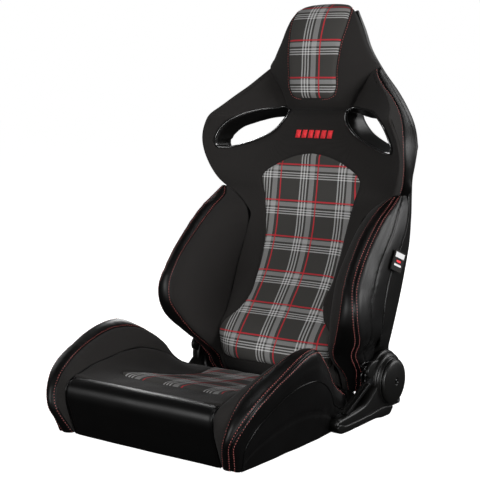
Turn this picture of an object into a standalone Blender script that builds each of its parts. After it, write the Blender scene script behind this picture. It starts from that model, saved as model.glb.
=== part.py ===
"""Reclining sport seat: steel frame, foam pads, moulded back shell and two disc recliners.

Metres, +Z up. The seat faces -Y and +X is the side with the release lever.
The origin is on the floor, in the middle of the seat's footprint.
The backrest turns about the X axis through (0, PIVOT_Y, PIVOT_Z).
"""

import bmesh
import bpy
from math import asin, atan2, cos, hypot, pi, radians, sin
from mathutils import Vector

# ---- driving dimensions -------------------------------------------------------------------
GAP = 0.0005            # air between neighbouring solids
PIVOT_Y = 0.234         # recline axis
PIVOT_Z = 0.070
COVER_CENTRE = (0.2165, 0.0775)     # middle of the moulded recliner covers and their caps
WALL_X = 0.2042         # flat joint between the cushion and each thigh bolster
CUSHION_REAR = 0.072    # clear of the circle that the bottom of the backrest sweeps
CUSHION_BOTTOM = 0.055
CREST_RISE = 0.006      # how far a thigh bolster's crest stands above its two seams
CREST_HUB_Z = 0.040
CREST_END_Y = -0.080    # the crest runs out into the rear slope here
BOLT_HOLE_R = 0.0046
RUNNING_GAP = 0.0006    # round the shaft in its plates
PAD_DEPTH = 0.010       # of the plaid inserts, let into their cushions
INSERT_PROUD = 0.002
SHARP_ANGLE = radians(35)
SHELL_WALL = 0.004
RAIL_TOP = 0.050
RAIL_TOP_REAR = 0.018
RAIL_WEB = (0.2355, 0.2400)
RAIL_FLANGE_IN = 0.195
HOOP_R = 0.011
EDGE_SETBACK = 0.006    # foam stops this far in front of the shell's edge
SLOT_LIP = 0.0030       # how far the harness bezel's lip stands out round the slot
VALLEY_LOW = (0.0865, 0.7030)   # joint between the head pad and the shoulders
VALLEY_HIGH = (0.1600, 0.8160)
SHAFT_R = 0.006

# layers across each recliner, as distances from the seat's middle plane
ARM_X = (0.2245, 0.2290)
RING_X = (0.2293, 0.2358)
GUIDE_X = (0.2295, 0.2399)
PAWL_X = (0.2300, 0.2357)
GUIDE_WEB_X = 0.2362
PLATE_X = (0.2403, 0.2448)
SPRING_X = (0.2465, 0.2530)
LEVER_X = (0.2560, 0.2605)
GRIP_X = (0.2535, 0.2745)
COVER_X = (0.2500, 0.2749)
CAP_X = (0.2753, 0.2872)

GUIDE_R = 0.0340
RING_TIP_R = 0.0360
RING_ROOT_R = 0.0385
RING_OUTER_R = 0.0460
RING_TEETH = 24
PAWL_TIP_R = 0.0352
PAWL_HALF = 0.0078
PAWL_FOOT_HALF = 0.0012
CAM_LOBE_R = 0.0118
CAM_BASE_R = 0.0088

# ---- outlines -----------------------------------------------------------------------------
# Backrest side edge, where the pads meet the shell: height, distance out, distance back.
FLANGE = [
    (0.125, 0.2400, 0.184), (0.150, 0.2400, 0.183), (0.158, 0.251, 0.182), (0.200, 0.266, 0.180), (0.280, 0.2725, 0.186), (0.340, 0.2735, 0.209),
    (0.400, 0.2725, 0.259), (0.450, 0.270, 0.290), (0.505, 0.262, 0.306), (0.550, 0.272, 0.292),
    (0.580, 0.281, 0.290), (0.630, 0.2835, 0.294), (0.670, 0.2715, 0.296), (0.710, 0.246, 0.305),
    (0.750, 0.208, 0.325), (0.800, 0.157, 0.350), (0.850, 0.125, 0.352), (0.900, 0.105, 0.352),
    (0.945, 0.084, 0.356),
]
# Rear corner of the shell and its middle: height, corner out, corner back, middle back.
SHELL_REAR = [
    (0.125, 0.2370, 0.266, 0.280), (0.150, 0.2370, 0.264, 0.284), (0.158, 0.238, 0.264, 0.286), (0.200, 0.240, 0.277, 0.300), (0.280, 0.241, 0.308, 0.332),
    (0.340, 0.242, 0.328, 0.352), (0.400, 0.242, 0.345, 0.368), (0.450, 0.241, 0.350, 0.377),
    (0.505, 0.238, 0.358, 0.384), (0.550, 0.254, 0.330, 0.388), (0.580, 0.266, 0.318, 0.391),
    (0.630, 0.270, 0.322, 0.393), (0.670, 0.257, 0.335, 0.395), (0.710, 0.230, 0.350, 0.396),
    (0.750, 0.195, 0.366, 0.397), (0.800, 0.145, 0.378, 0.397), (0.850, 0.110, 0.383, 0.397),
    (0.900, 0.090, 0.383, 0.396), (0.945, 0.068, 0.382, 0.393),
]
# Front edge of the wings and shoulders: height, distance out, distance back.
WING_EDGE = [
    (0.055, 0.165, 0.166), (0.068, 0.165, 0.154), (0.085, 0.165, 0.146), (0.130, 0.165, 0.132), (0.165, 0.165, 0.123), (0.215, 0.165, 0.160),
    (0.319, 0.165, 0.203), (0.374, 0.165, 0.230), (0.410, 0.165, 0.245), (0.447, 0.165, 0.255),
    (0.480, 0.206, 0.262), (0.505, 0.2430, 0.262), (0.523, 0.2560, 0.249), (0.550, 0.271, 0.233),
    (0.580, 0.2815, 0.221), (0.610, 0.2845, 0.211), (0.640, 0.2815, 0.203), (0.668, 0.272, 0.198),
    (0.690, 0.261, 0.200), (0.700, 0.254, 0.211), (0.720, 0.240, 0.243), (0.742, 0.217, 0.270),
    (0.761, 0.193, 0.285), (0.778, 0.175, 0.303), (0.808, 0.1545, 0.333),
]
# Middle of the backrest: height, front surface back, rear of the foam back.
BACK_MIDDLE = [
    (0.055, 0.150, 0.178), (0.068, 0.128, 0.179), (0.085, 0.112, 0.180), (0.105, 0.098, 0.185), (0.130, 0.091, 0.188), (0.165, 0.108, 0.193),
    (0.235, 0.166, 0.215), (0.311, 0.222, 0.264), (0.390, 0.256, 0.305), (0.478, 0.273, 0.325),
    (0.568, 0.285, 0.334), (0.650, 0.292, 0.336), (0.690, 0.305, 0.336), (0.7025, 0.318, 0.336),
]
# Head pad: height, half width, front surface back at the middle and at the edge.
HEAD = [
    (0.7035, 0.0850, 0.318, 0.318), (0.720, 0.0970, 0.291, 0.318), (0.740, 0.1120, 0.282, 0.318),
    (0.770, 0.1340, 0.281, 0.320), (0.808, 0.1545, 0.283, 0.326), (0.833, 0.1370, 0.284, 0.323),
    (0.868, 0.1190, 0.288, 0.322), (0.905, 0.1040, 0.300, 0.325), (0.935, 0.0900, 0.315, 0.332),
    (0.950, 0.0780, 0.329, 0.341), (0.957, 0.0640, 0.345, 0.350),
]
HEAD_REAR = 0.347
HEAD_CROWN_REAR = 0.378
# Side bolster of the backrest: height, then (out, back) of the inner edge, the inner seam,
# the outer seam, the side and the rear edge.
BACK_BOLSTER = [
    (0.072, (0.166, 0.168), (0.182, 0.166), (0.208, 0.166), (0.220, 0.171), (0.221, 0.178)),
    (0.085, (0.166, 0.158), (0.184, 0.156), (0.220, 0.158), (0.229, 0.167), (0.230, 0.178)),
    (0.100, (0.166, 0.152), (0.186, 0.146), (0.227, 0.150), (0.236, 0.164), (0.237, 0.178)),
    (0.125, (0.166, 0.134), (0.192, 0.117), (0.233, 0.126), (0.241, 0.150), (0.241, 0.180)),
    (0.160, (0.166, 0.124), (0.202, 0.068), (0.248, 0.082), (0.2485, 0.130), (0.249, 0.179)),
    (0.200, (0.166, 0.150), (0.221, 0.040), (0.276, 0.048), (0.273, 0.112), (0.266, 0.177)),
    (0.240, (0.166, 0.172), (0.238, 0.022), (0.283, 0.030), (0.2805, 0.105), (0.269, 0.179)),
    (0.280, (0.166, 0.187), (0.243, 0.024), (0.281, 0.028), (0.281, 0.106), (0.272, 0.183)),
    (0.320, (0.166, 0.203), (0.240, 0.041), (0.2765, 0.043), (0.280, 0.122), (0.273, 0.194)),
    (0.360, (0.166, 0.223), (0.236, 0.071), (0.271, 0.072), (0.278, 0.148), (0.273, 0.216)),
    (0.400, (0.166, 0.242), (0.231, 0.112), (0.267, 0.108), (0.276, 0.182), (0.272, 0.254)),
    (0.430, (0.166, 0.250), (0.228, 0.148), (0.263, 0.142), (0.273, 0.212), (0.2705, 0.273)),
    (0.447, (0.166, 0.254), (0.228, 0.172), (0.261, 0.166), (0.271, 0.228), (0.2695, 0.284)),
    (0.480, (0.207, 0.254), (0.232, 0.215), (0.259, 0.212), (0.267, 0.252), (0.265, 0.295)),
    (0.504, (0.244, 0.256), (0.248, 0.250), (0.257, 0.252), (0.261, 0.275), (0.260, 0.300)),
]
# Rear of each bolster, at its inner wall: height, distance back.
BOLSTER_REAR = [
    (0.072, 0.180), (0.100, 0.183), (0.160, 0.190), (0.240, 0.218), (0.320, 0.266), (0.400, 0.302), (0.447, 0.310),
    (0.504, 0.303),
]
# Thigh bolster, fanned round its nose: distance back of the underside, then (back, up) of the
# inner wall's top, and (out, back, up) of the inner seam, the outer seam and the side.
THIGH_BOLSTER = [
    (-0.338, (-0.346, 0.0040), (0.206, -0.349, 0.005), (0.236, -0.357, 0.005), (0.251, -0.346, 0.003)),
    (-0.334, (-0.364, 0.0450), (0.219, -0.370, 0.042), (0.243, -0.369, 0.032), (0.255, -0.348, 0.028)),
    (-0.324, (-0.376, 0.0840), (0.230, -0.379, 0.076), (0.253, -0.382, 0.064), (0.260, -0.348, 0.052)),
    (-0.310, (-0.374, 0.1120), (0.236, -0.373, 0.104), (0.262, -0.377, 0.086), (0.264, -0.338, 0.072)),
    (-0.294, (-0.360, 0.1270), (0.238, -0.358, 0.127), (0.271, -0.364, 0.109), (0.268, -0.324, 0.090)),
    (-0.272, (-0.333, 0.1360), (0.240, -0.330, 0.151), (0.281, -0.338, 0.138), (0.272, -0.300, 0.107)),
    (-0.246, (-0.295, 0.1460), (0.243, -0.295, 0.170), (0.288, -0.298, 0.166), (0.276, -0.262, 0.124)),
    (-0.212, (-0.245, 0.1530), (0.246, -0.245, 0.189), (0.289, -0.248, 0.187), (0.278, -0.222, 0.140)),
    (-0.180, (-0.200, 0.1580), (0.246, -0.200, 0.201), (0.288, -0.200, 0.204), (0.279, -0.185, 0.147)),
    (-0.148, (-0.160, 0.1600), (0.241, -0.160, 0.207), (0.285, -0.160, 0.214), (0.279, -0.150, 0.149)),
    (-0.120, (-0.125, 0.1580), (0.233, -0.125, 0.204), (0.281, -0.125, 0.213), (0.278, -0.118, 0.146)),
    (-0.095, (-0.095, 0.1500), (0.227, -0.095, 0.194), (0.268, -0.095, 0.201), (0.275, -0.090, 0.136)),
    (-0.060, (-0.060, 0.1380), (0.222, -0.060, 0.175), (0.257, -0.060, 0.178), (0.266, -0.058, 0.118)),
    (-0.025, (-0.025, 0.1220), (0.218, -0.025, 0.148), (0.247, -0.025, 0.150), (0.254, -0.025, 0.090)),
    (0.000, (0.000, 0.1050), (0.215, 0.000, 0.118), (0.2435, 0.000, 0.117), (0.2450, 0.000, 0.072)),
    (0.040, (0.040, 0.0870), (0.212, 0.040, 0.088), (0.2395, 0.040, 0.086), (0.2440, 0.040, 0.055)),
    (0.072, (0.072, 0.0780), (0.209, 0.072, 0.078), (0.2300, 0.072, 0.073), (0.2400, 0.072, 0.045)),
]
WALL_TOP = [row[1] for row in THIGH_BOLSTER[5:]]    # behind the front roll
THIGH_FOOT = [(-0.120, 0.2505), (-0.060, 0.2495), (-0.025, 0.2465), (0.000, 0.2440), (0.072, 0.2430)]
# Seat cushion: distance back, height along its middle.
CUSHION_TOP = [
    (-0.335, 0.1285), (-0.300, 0.127), (-0.255, 0.1225), (-0.200, 0.116), (-0.120, 0.103),
    (-0.050, 0.093), (0.000, 0.088), (0.040, 0.084), (0.072, 0.079),
]
FRONT_ROLL = [
    (-0.352, 0.001), (-0.366, 0.050), (-0.3785, 0.092), (-0.3800, 0.108), (-0.3740, 0.1225),
    (-0.3600, 0.1295), (-0.3356, 0.1295), (-0.3356, 0.001),
]
# Plaid inserts: distance along the pad, half width.
SEAT_INSERT = [
    (-0.2560, 0.142), (-0.2480, 0.150), (-0.2200, 0.142), (-0.1600, 0.122), (-0.1000, 0.107),
    (-0.0500, 0.101), (0.0000, 0.112), (0.0400, 0.130), (0.0700, 0.140),
]
BACK_INSERT = [
    (0.1020, 0.150), (0.1120, 0.158), (0.1400, 0.162), (0.1650, 0.160), (0.1850, 0.154),
    (0.2180, 0.122), (0.2520, 0.107), (0.2930, 0.109), (0.3400, 0.111), (0.3890, 0.114),
    (0.4400, 0.121), (0.4900, 0.131), (0.5370, 0.1415), (0.5480, 0.131), (0.5640, 0.106),
    (0.5800, 0.074), (0.5910, 0.040), (0.5970, 0.012),
]
HEAD_INSERT = [
    (0.7330, 0.046), (0.7380, 0.056), (0.7480, 0.062), (0.8000, 0.067), (0.8720, 0.074),
    (0.9200, 0.0790), (0.9480, 0.0740),
]
# Harness slot, seen from the front: (out, up), anticlockwise on the lever side.
HARNESS_SLOT = [
    (0.0850, 0.7010), (0.0880, 0.6840), (0.1000, 0.6660), (0.1180, 0.6490), (0.1430, 0.6350),
    (0.1720, 0.6230), (0.2040, 0.6130), (0.2400, 0.6070), (0.2530, 0.6100), (0.2565, 0.6200),
    (0.2530, 0.6400), (0.2430, 0.6600), (0.2280, 0.6720), (0.1990, 0.6880), (0.1640, 0.7010),
    (0.1260, 0.7060), (0.0950, 0.7080),
]
SLOT_MIDDLE = (0.1720, 0.6580)


# ---- helpers ------------------------------------------------------------------------------
def value(rows, key, column=1):
    """Straight-line interpolation in rows that are sorted by their first number."""
    if key <= rows[0][0]:
        return rows[0][column]
    for low, high in zip(rows, rows[1:]):
        if key <= high[0]:
            share = (key - low[0]) / (high[0] - low[0])
            return low[column] + share * (high[column] - low[column])
    return rows[-1][column]


def smooth_path(points, steps):
    """Points on a Catmull-Rom curve through the given points."""
    points = [Vector(p) for p in points]
    ends = [2 * points[0] - points[1]] + points + [2 * points[-1] - points[-2]]
    path = []
    for i in range(1, len(ends) - 2):
        a, b, c, d = ends[i - 1:i + 3]
        for k in range(steps):
            t = k / steps
            path.append(
                0.5 * (2 * b + (c - a) * t + (2 * a - 5 * b + 4 * c - d) * t**2
                       + (3 * b - a - 3 * c + d) * t**3)
            )
    path.append(points[-1])
    return path


def circle(radius, count, centre=(0.0, 0.0), start=0.0):
    """Points of a circle as (first, second) pairs."""
    return [
        (centre[0] + radius * cos(start + 2 * pi * i / count),
         centre[1] + radius * sin(start + 2 * pi * i / count))
        for i in range(count)
    ]


def make_material(name, colour, roughness, metallic=0.0):
    material = bpy.data.materials.new(name)
    material.use_nodes = True
    shader = material.node_tree.nodes["Principled BSDF"]
    shader.inputs["Base Color"].default_value = (*colour, 1.0)
    shader.inputs["Roughness"].default_value = roughness
    shader.inputs["Metallic"].default_value = metallic
    return material


def add_object(name, verts, faces, material, parent=None):
    """A mesh object with outward faces; verts are world points."""
    mesh = bpy.data.meshes.new(name)
    mesh.from_pydata([tuple(v) for v in verts], [], faces)
    work = bmesh.new()
    work.from_mesh(mesh)
    bmesh.ops.recalc_face_normals(work, faces=work.faces)
    work.to_mesh(mesh)
    work.free()
    mesh.shade_smooth()
    mesh.set_sharp_from_angle(angle=SHARP_ANGLE)
    item = bpy.data.objects.new(name, mesh)
    mesh.materials.append(material)
    bpy.context.collection.objects.link(item)
    attach(item, parent)
    return item


def attach(item, parent):
    """Parent without moving: the parent empties carry no rotation or scale."""
    if parent is not None:
        item.parent = parent
        item.matrix_parent_inverse.translation = -parent.location


def add_empty(name, location):
    empty = bpy.data.objects.new(name, None)
    empty.location = location
    bpy.context.collection.objects.link(empty)
    return empty


def as_cutter(item):
    item.hide_render = True
    item.display_type = "WIRE"
    return item


def boolean(target, cutter, operation="DIFFERENCE"):
    modifier = target.modifiers.new(operation.lower(), "BOOLEAN")
    modifier.operation = operation
    modifier.object = cutter
    modifier.solver = "EXACT"


def loft(name, sections, material, parent=None, closed=False):
    """A solid through closed sections of equal length; closed joins the last to the first."""
    count = len(sections[0])
    verts = [p for section in sections for p in section]
    faces = []
    spans = len(sections) if closed else len(sections) - 1
    for k in range(spans):
        here = k * count
        there = (k + 1) % len(sections) * count
        for i in range(count):
            j = (i + 1) % count
            faces.append((here + i, here + j, there + j, there + i))
    if not closed:
        faces.append(tuple(range(count)))
        faces.append(tuple(range((len(sections) - 1) * count, len(sections) * count)))
    return add_object(name, verts, faces, material, parent)


def slab(name, rows, columns, near, far, place, material, parent=None):
    """A pad between two depth surfaces, from (b, half width) rows of equal column count."""
    sections = []
    for b, half in rows:
        line = [half * (2 * j / columns - 1) for j in range(columns + 1)]
        section = [place(a, b, near(a, b)) for a in line]
        section += [place(a, b, far(a, b)) for a in reversed(line)]
        sections.append(section)
    count = len(sections[0])
    verts = [p for section in sections for p in section]
    faces = []
    for k in range(len(sections) - 1):
        for i in range(count):
            j = (i + 1) % count
            faces.append((k * count + i, k * count + j, (k + 1) * count + j, (k + 1) * count + i))
    for base in (0, (len(sections) - 1) * count):
        for i in range(columns):
            faces.append((base + i, base + i + 1, base + count - 2 - i, base + count - 1 - i))
    return add_object(name, verts, faces, material, parent)


def prism_x(name, outline, span, side, material, parent=None):
    """A plate: a (y, z) outline between two distances from the middle plane, on one side."""
    sections = [[(side * x, y, z) for y, z in outline] for x in span]
    return loft(name, sections, material, parent)


def ring_x(name, outer, inner, span, side, material, parent=None):
    """A plate with a hole: outer and inner (y, z) outlines have the same number of points."""
    sections = []
    for (y0, z0), (y1, z1) in zip(outer, inner):
        sections.append([
            (side * span[0], y0, z0), (side * span[1], y0, z0),
            (side * span[1], y1, z1), (side * span[0], y1, z1),
        ])
    return loft(name, sections, material, parent, closed=True)


def lathe_x(name, profile, side, material, count=30, parent=None, centre=(PIVOT_Y, PIVOT_Z)):
    """A solid turned about an X axis: profile holds (distance out, radius), radius > 0."""
    sections = []
    for i in range(count):
        c, s = cos(2 * pi * i / count), sin(2 * pi * i / count)
        sections.append([(side * x, centre[0] + r * c, centre[1] + r * s) for x, r in profile])
    return loft(name, sections, material, parent, closed=True)


def turned_x(name, profile, side, material, count=30, parent=None, centre=(PIVOT_Y, PIVOT_Z)):
    """A turned solid without a bore: circles of the given radii at increasing distances out."""
    sections = []
    for x, radius in profile:
        sections.append([(side * x, y, z) for y, z in circle(radius, count, centre)])
    return loft(name, sections, material, parent)


def disc_x(name, radius, span, side, material, count=36, parent=None, centre=(PIVOT_Y, PIVOT_Z)):
    return prism_x(name, circle(radius, count, centre), span, side, material, parent)


def tube(name, points, radius, material, parent=None, resolution=1, cyclic=False):
    """A round bar or wire along a path."""
    curve = bpy.data.curves.new(name, "CURVE")
    curve.dimensions = "3D"
    curve.bevel_depth = radius
    curve.bevel_resolution = resolution
    curve.use_fill_caps = True
    spline = curve.splines.new("POLY")
    spline.points.add(len(points) - 1)
    for target, point in zip(spline.points, points):
        target.co = (*point, 1.0)
    spline.use_cyclic_u = cyclic
    item = bpy.data.objects.new(name, curve)
    curve.materials.append(material)
    bpy.context.collection.objects.link(item)
    attach(item, parent)
    return item


def link_outline(a, b, radius_a, radius_b, steps=8):
    """Outline of a bar between two round ends, as (y, z) points."""
    dy, dz = b[0] - a[0], b[1] - a[1]
    heading = atan2(dz, dy)
    lean = asin((radius_a - radius_b) / hypot(dy, dz))
    points = []
    for i in range(steps + 1):
        angle = heading - pi / 2 + lean + (pi - 2 * lean) * i / steps
        points.append((b[0] + radius_b * cos(angle), b[1] + radius_b * sin(angle)))
    for i in range(steps + 1):
        angle = heading + pi / 2 - lean + (pi + 2 * lean) * i / steps
        points.append((a[0] + radius_a * cos(angle), a[1] + radius_a * sin(angle)))
    return points


def side_name(side):
    return "right" if side > 0 else "left"


# ---- surfaces of the pads -------------------------------------------------------------------
def cushion_top(x, y):
    """Dished seat surface: level in the middle, rising towards the thigh bolsters."""
    middle = value(CUSHION_TOP, y)
    rise = value(WALL_TOP, y) - middle
    across = max(0.0, (abs(x) - 0.100) / (WALL_X - 0.100))
    return middle + rise * across**2


def back_front(x, z):
    """Front of the back cushion: level in the middle, coming forward into the wings."""
    middle = value(BACK_MIDDLE, z)
    edge = value(WING_EDGE, z, 2)
    across = max(0.0, (abs(x) - 0.070) / (value(WING_EDGE, z) - 0.070))
    return middle + (edge - middle) * across**2.2


def back_rear(x, z):
    """Rear of the back cushion's foam: ends just in front of the shell's edge."""
    middle = value(BACK_MIDDLE, z, 2)
    edge = value(FLANGE, z, 2) - EDGE_SETBACK if z > 0.505 else value(BOLSTER_REAR, z)
    across = min(1.0, abs(x) / value(WING_EDGE, z))
    return middle + (edge - middle) * across**3


def head_front(x, z):
    across = min(1.0, abs(x) / value(HEAD, z))
    return value(HEAD, z, 2) + (value(HEAD, z, 3) - value(HEAD, z, 2)) * across**3


def head_rear(x, z):
    """The head pad closes over the top of the hoop, back to the shell."""
    crown = min(1.0, max(0.0, (z - 0.928) / 0.012))
    across = min(1.0, abs(x) / value(HEAD, z))
    return HEAD_REAR + (HEAD_CROWN_REAR - HEAD_REAR) * crown * (1 - across**3)


def on_cushion(a, b, depth):
    return (a, b, depth)


def on_back(a, b, depth):
    return (a, depth, b)


# ---- seat base ------------------------------------------------------------------------------
def build_rails(steel, hole_centres):
    """Side rails: an L section with a flat mounting flange and a web for the recliner plate."""
    for side in (1, -1):
        web = [
            (-0.320, 0.000), (0.310, 0.000), (0.310, RAIL_TOP_REAR), (0.150, RAIL_TOP_REAR),
            (0.120, RAIL_TOP), (-0.320, RAIL_TOP),
        ]
        rail = prism_x("base_rail_" + side_name(side), web, RAIL_WEB, side, steel)
        low, high = sorted((side * RAIL_FLANGE_IN, side * (RAIL_WEB[0] + 0.001)))
        flange = loft(
            "rail_flange_shape",
            [[(x, y, z) for y, z in ((-0.320, 0.0), (0.310, 0.0), (0.310, 0.004), (-0.320, 0.004))]
             for x in (low, high)],
            steel,
        )
        boolean(rail, as_cutter(flange), "UNION")
        for centre in hole_centres:
            hole = prism_x("rail_hole_shape", circle(BOLT_HOLE_R, 12, centre), (0.230, 0.250), side, steel)
            boolean(rail, as_cutter(hole))


def build_cross_tubes(steel):
    reach = RAIL_WEB[0] - GAP
    for name, y, z in (("base_cross_tube_front", -0.270, 0.030), ("base_cross_tube_rear", 0.052, 0.030)):
        disc_x(name, 0.010, (-reach, reach), 1, steel, count=16, centre=(y, z))


def build_rear_panel(steel):
    """Pressed panel that closes the base behind the cushion, between the two rails."""
    outline = [(0.0780, 0.0050), (0.0800, 0.0050), (0.0800, 0.0760), (0.0740, 0.0780), (0.0732, 0.0762),
               (0.0780, 0.0745)]
    reach = RAIL_WEB[0] - GAP
    loft("base_rear_panel", [[(x, y, z) for y, z in outline] for x in (-reach, reach)], steel)


def build_seat_springs(wire):
    """Zigzag springs over the two cross tubes, under the cushion."""
    turns = 7
    for number, x in enumerate((-0.105, 0.0, 0.105), start=1):
        points = [(x, -0.276, 0.0455)]
        for i in range(turns):
            y = -0.250 + 0.280 * i / (turns - 1)
            offset = 0.024 if i % 2 == 0 else -0.024
            points.append((x + offset, y - 0.010, 0.0455))
            points.append((x + offset, y + 0.010, 0.0455))
        points.append((x, 0.058, 0.0455))
        tube(f"seat_spring_{number}", points, 0.0022, wire)


def build_cushion(fabric, leather, plaid):
    rows = [(y, WALL_X - GAP) for y in
            (-0.335, -0.300, -0.255, -0.200, -0.150, -0.100, -0.050, 0.000, 0.040, CUSHION_REAR)]
    cushion = slab(
        "seat_cushion", rows, 14, cushion_top, lambda x, y: CUSHION_BOTTOM, on_cushion, fabric)
    first, last = SEAT_INSERT[0], SEAT_INSERT[-1]
    outline = [(first[0] - GAP, first[1])] + SEAT_INSERT[1:] + [(CUSHION_REAR + 0.010, last[1])]
    pocket = slab(
        "seat_insert_pocket", [(y, half + GAP) for y, half in outline], 8,
        lambda x, y: cushion_top(x, y) + 0.020, lambda x, y: cushion_top(x, y) - PAD_DEPTH,
        on_cushion, fabric)
    boolean(cushion, as_cutter(pocket))
    slab(
        "seat_insert", SEAT_INSERT, 8,
        lambda x, y: cushion_top(x, y) + INSERT_PROUD, lambda x, y: cushion_top(x, y) - PAD_DEPTH + 2 * GAP,
        on_cushion, plaid)
    half = WALL_X - GAP
    loft("seat_front_roll", [[(x, y, z) for y, z in FRONT_ROLL] for x in (-half, half)], leather)


def build_thigh_bolsters(leather):
    """Side pads of the seat, hollowed underneath for the rails."""
    web_clear = RAIL_WEB[1] + 0.0010
    for side in (1, -1):
        sections = []
        for base_y, wall, seam_in, seam_out, flank in THIGH_BOLSTER:
            roof = RAIL_TOP + 0.002 if base_y > -0.330 else 0.003
            foot = value(THIGH_FOOT, base_y)
            crest = (Vector(seam_in) + Vector(seam_out)) / 2
            outward = Vector((0.0, crest.y - base_y, max(0.0, crest.z - CREST_HUB_Z))).normalized()
            crest += CREST_RISE * min(1.0, max(0.0, (CREST_END_Y - base_y) / 0.040)) * outward
            shoulder = (Vector(seam_out) + Vector(flank)) / 2 + Vector((0.002, 0.0, 0.0))
            shape = [
                (WALL_X, base_y, roof), (WALL_X, *wall), seam_in, crest, seam_out, shoulder, flank,
                (foot, base_y, 0.001), (web_clear, base_y, 0.001), (web_clear, base_y, roof),
            ]
            sections.append([(side * x, y, z) for x, y, z in shape])
        loft("thigh_bolster_" + side_name(side), sections, leather)


# ---- recliners ------------------------------------------------------------------------------
def build_recliner_plates(side, steel, hole_centres):
    """Fixed side: base plate on the rail, and the guide disc that carries the pawls."""
    outline = [(0.112, 0.001), (0.310, 0.001), (0.310, 0.022), (0.285, 0.050)]
    steps = 12
    for i in range(steps + 1):
        angle = radians(-15 + 195 * i / steps)
        outline.append((PIVOT_Y + 0.050 * cos(angle), PIVOT_Z + 0.050 * sin(angle)))
    outline += [(0.176, 0.046), (0.112, 0.030)]
    plate = prism_x("recliner_base_plate_" + side_name(side), outline, PLATE_X, side, steel)
    bore = disc_x("plate_bore_shape", SHAFT_R + RUNNING_GAP, (0.238, 0.248), side, steel, count=16)
    boolean(plate, as_cutter(bore))
    for centre in hole_centres:
        hole = prism_x("plate_hole_shape", circle(BOLT_HOLE_R, 12, centre), (0.238, 0.248), side, steel)
        boolean(plate, as_cutter(hole))

    guide = disc_x("recliner_guide_" + side_name(side), GUIDE_R, GUIDE_X, side, steel, count=32)
    half = PAWL_HALF + 0.0005
    slot = prism_x(
        "guide_slot_shape",
        [(PIVOT_Y - half, PIVOT_Z - 0.040), (PIVOT_Y + half, PIVOT_Z - 0.040),
         (PIVOT_Y + half, PIVOT_Z + 0.040), (PIVOT_Y - half, PIVOT_Z + 0.040)],
        (0.2280, GUIDE_WEB_X), side, steel)
    boolean(guide, as_cutter(slot))
    pocket = disc_x("guide_pocket_shape", CAM_LOBE_R + 0.0012, (0.2280, GUIDE_WEB_X), side, steel, count=24)
    boolean(guide, as_cutter(pocket))
    bore = disc_x("guide_bore_shape", SHAFT_R + RUNNING_GAP, (0.2280, 0.2420), side, steel, count=16)
    boolean(guide, as_cutter(bore))


def build_plate_bolts(side, metal, hole_centres):
    for number, centre in enumerate(hole_centres, start=1):
        name = f"recliner_bolt_{side_name(side)}_{number}"
        profile = [(0.2340, 0.0040), (PLATE_X[1] + GAP, 0.0040), (PLATE_X[1] + GAP, 0.0062),
                   (0.2492, 0.0062)]
        turned_x(name, profile, side, metal, count=12, centre=centre)


def build_pawls(side, steel, parents):
    """Two toothed pawls, up and down, that lie in the guide's slot."""
    pitch = 2 * pi / RING_TEETH
    for name, way in (("top", 1), ("bottom", -1)):
        outline = [(-PAWL_FOOT_HALF, 0.0130), (PAWL_FOOT_HALF, 0.0130), (PAWL_FOOT_HALF, 0.0185),
                   (PAWL_HALF, 0.0185)]
        for i in range(5):
            angle = pi / 2 - pitch * 0.75 + pitch * 0.375 * i
            radius = PAWL_TIP_R if i % 2 == 0 else PAWL_TIP_R - 0.0022
            if abs(radius * cos(angle)) < PAWL_HALF:
                outline.append((radius * cos(angle), radius * sin(angle)))
        outline += [(-PAWL_HALF, 0.0185), (-PAWL_FOOT_HALF, 0.0185)]
        points = [(PIVOT_Y + y, PIVOT_Z + way * z) for y, z in outline]
        prism_x(f"pawl_{side_name(side)}_{name}", points, PAWL_X, side, steel, parents[(side, way)])


def build_cams(side, steel, parent):
    outer = []
    for degrees in range(0, 360, 8):
        off = abs((degrees - 90 + 90) % 180 - 90)
        share = min(1.0, max(0.0, (off - 2) / 18))
        radius = CAM_LOBE_R + (CAM_BASE_R - CAM_LOBE_R) * share
        angle = radians(degrees + 2)
        outer.append((PIVOT_Y + radius * cos(angle), PIVOT_Z + radius * sin(angle)))
    inner = circle(SHAFT_R + GAP, len(outer), (PIVOT_Y, PIVOT_Z), radians(2))
    ring_x("release_cam_" + side_name(side), outer, inner, PAWL_X, side, steel, parent)


def build_return_spring(side, wire):
    """Flat spiral spring round the release shaft, hooked at the base plate."""
    turns, steps = 3.25, 52
    thickness = 0.0016
    sections = []
    for i in range(steps + 1):
        angle = 2 * pi * turns * i / steps
        radius = 0.0100 + 0.0250 * i / steps
        c, s = cos(angle), sin(angle)
        sections.append([
            (side * x, PIVOT_Y + (radius + r) * c, PIVOT_Z + (radius + r) * s)
            for x, r in ((SPRING_X[0], 0), (SPRING_X[1], 0), (SPRING_X[1], thickness),
                         (SPRING_X[0], thickness))
        ])
    loft("recliner_spring_" + side_name(side), sections, wire)


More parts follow.
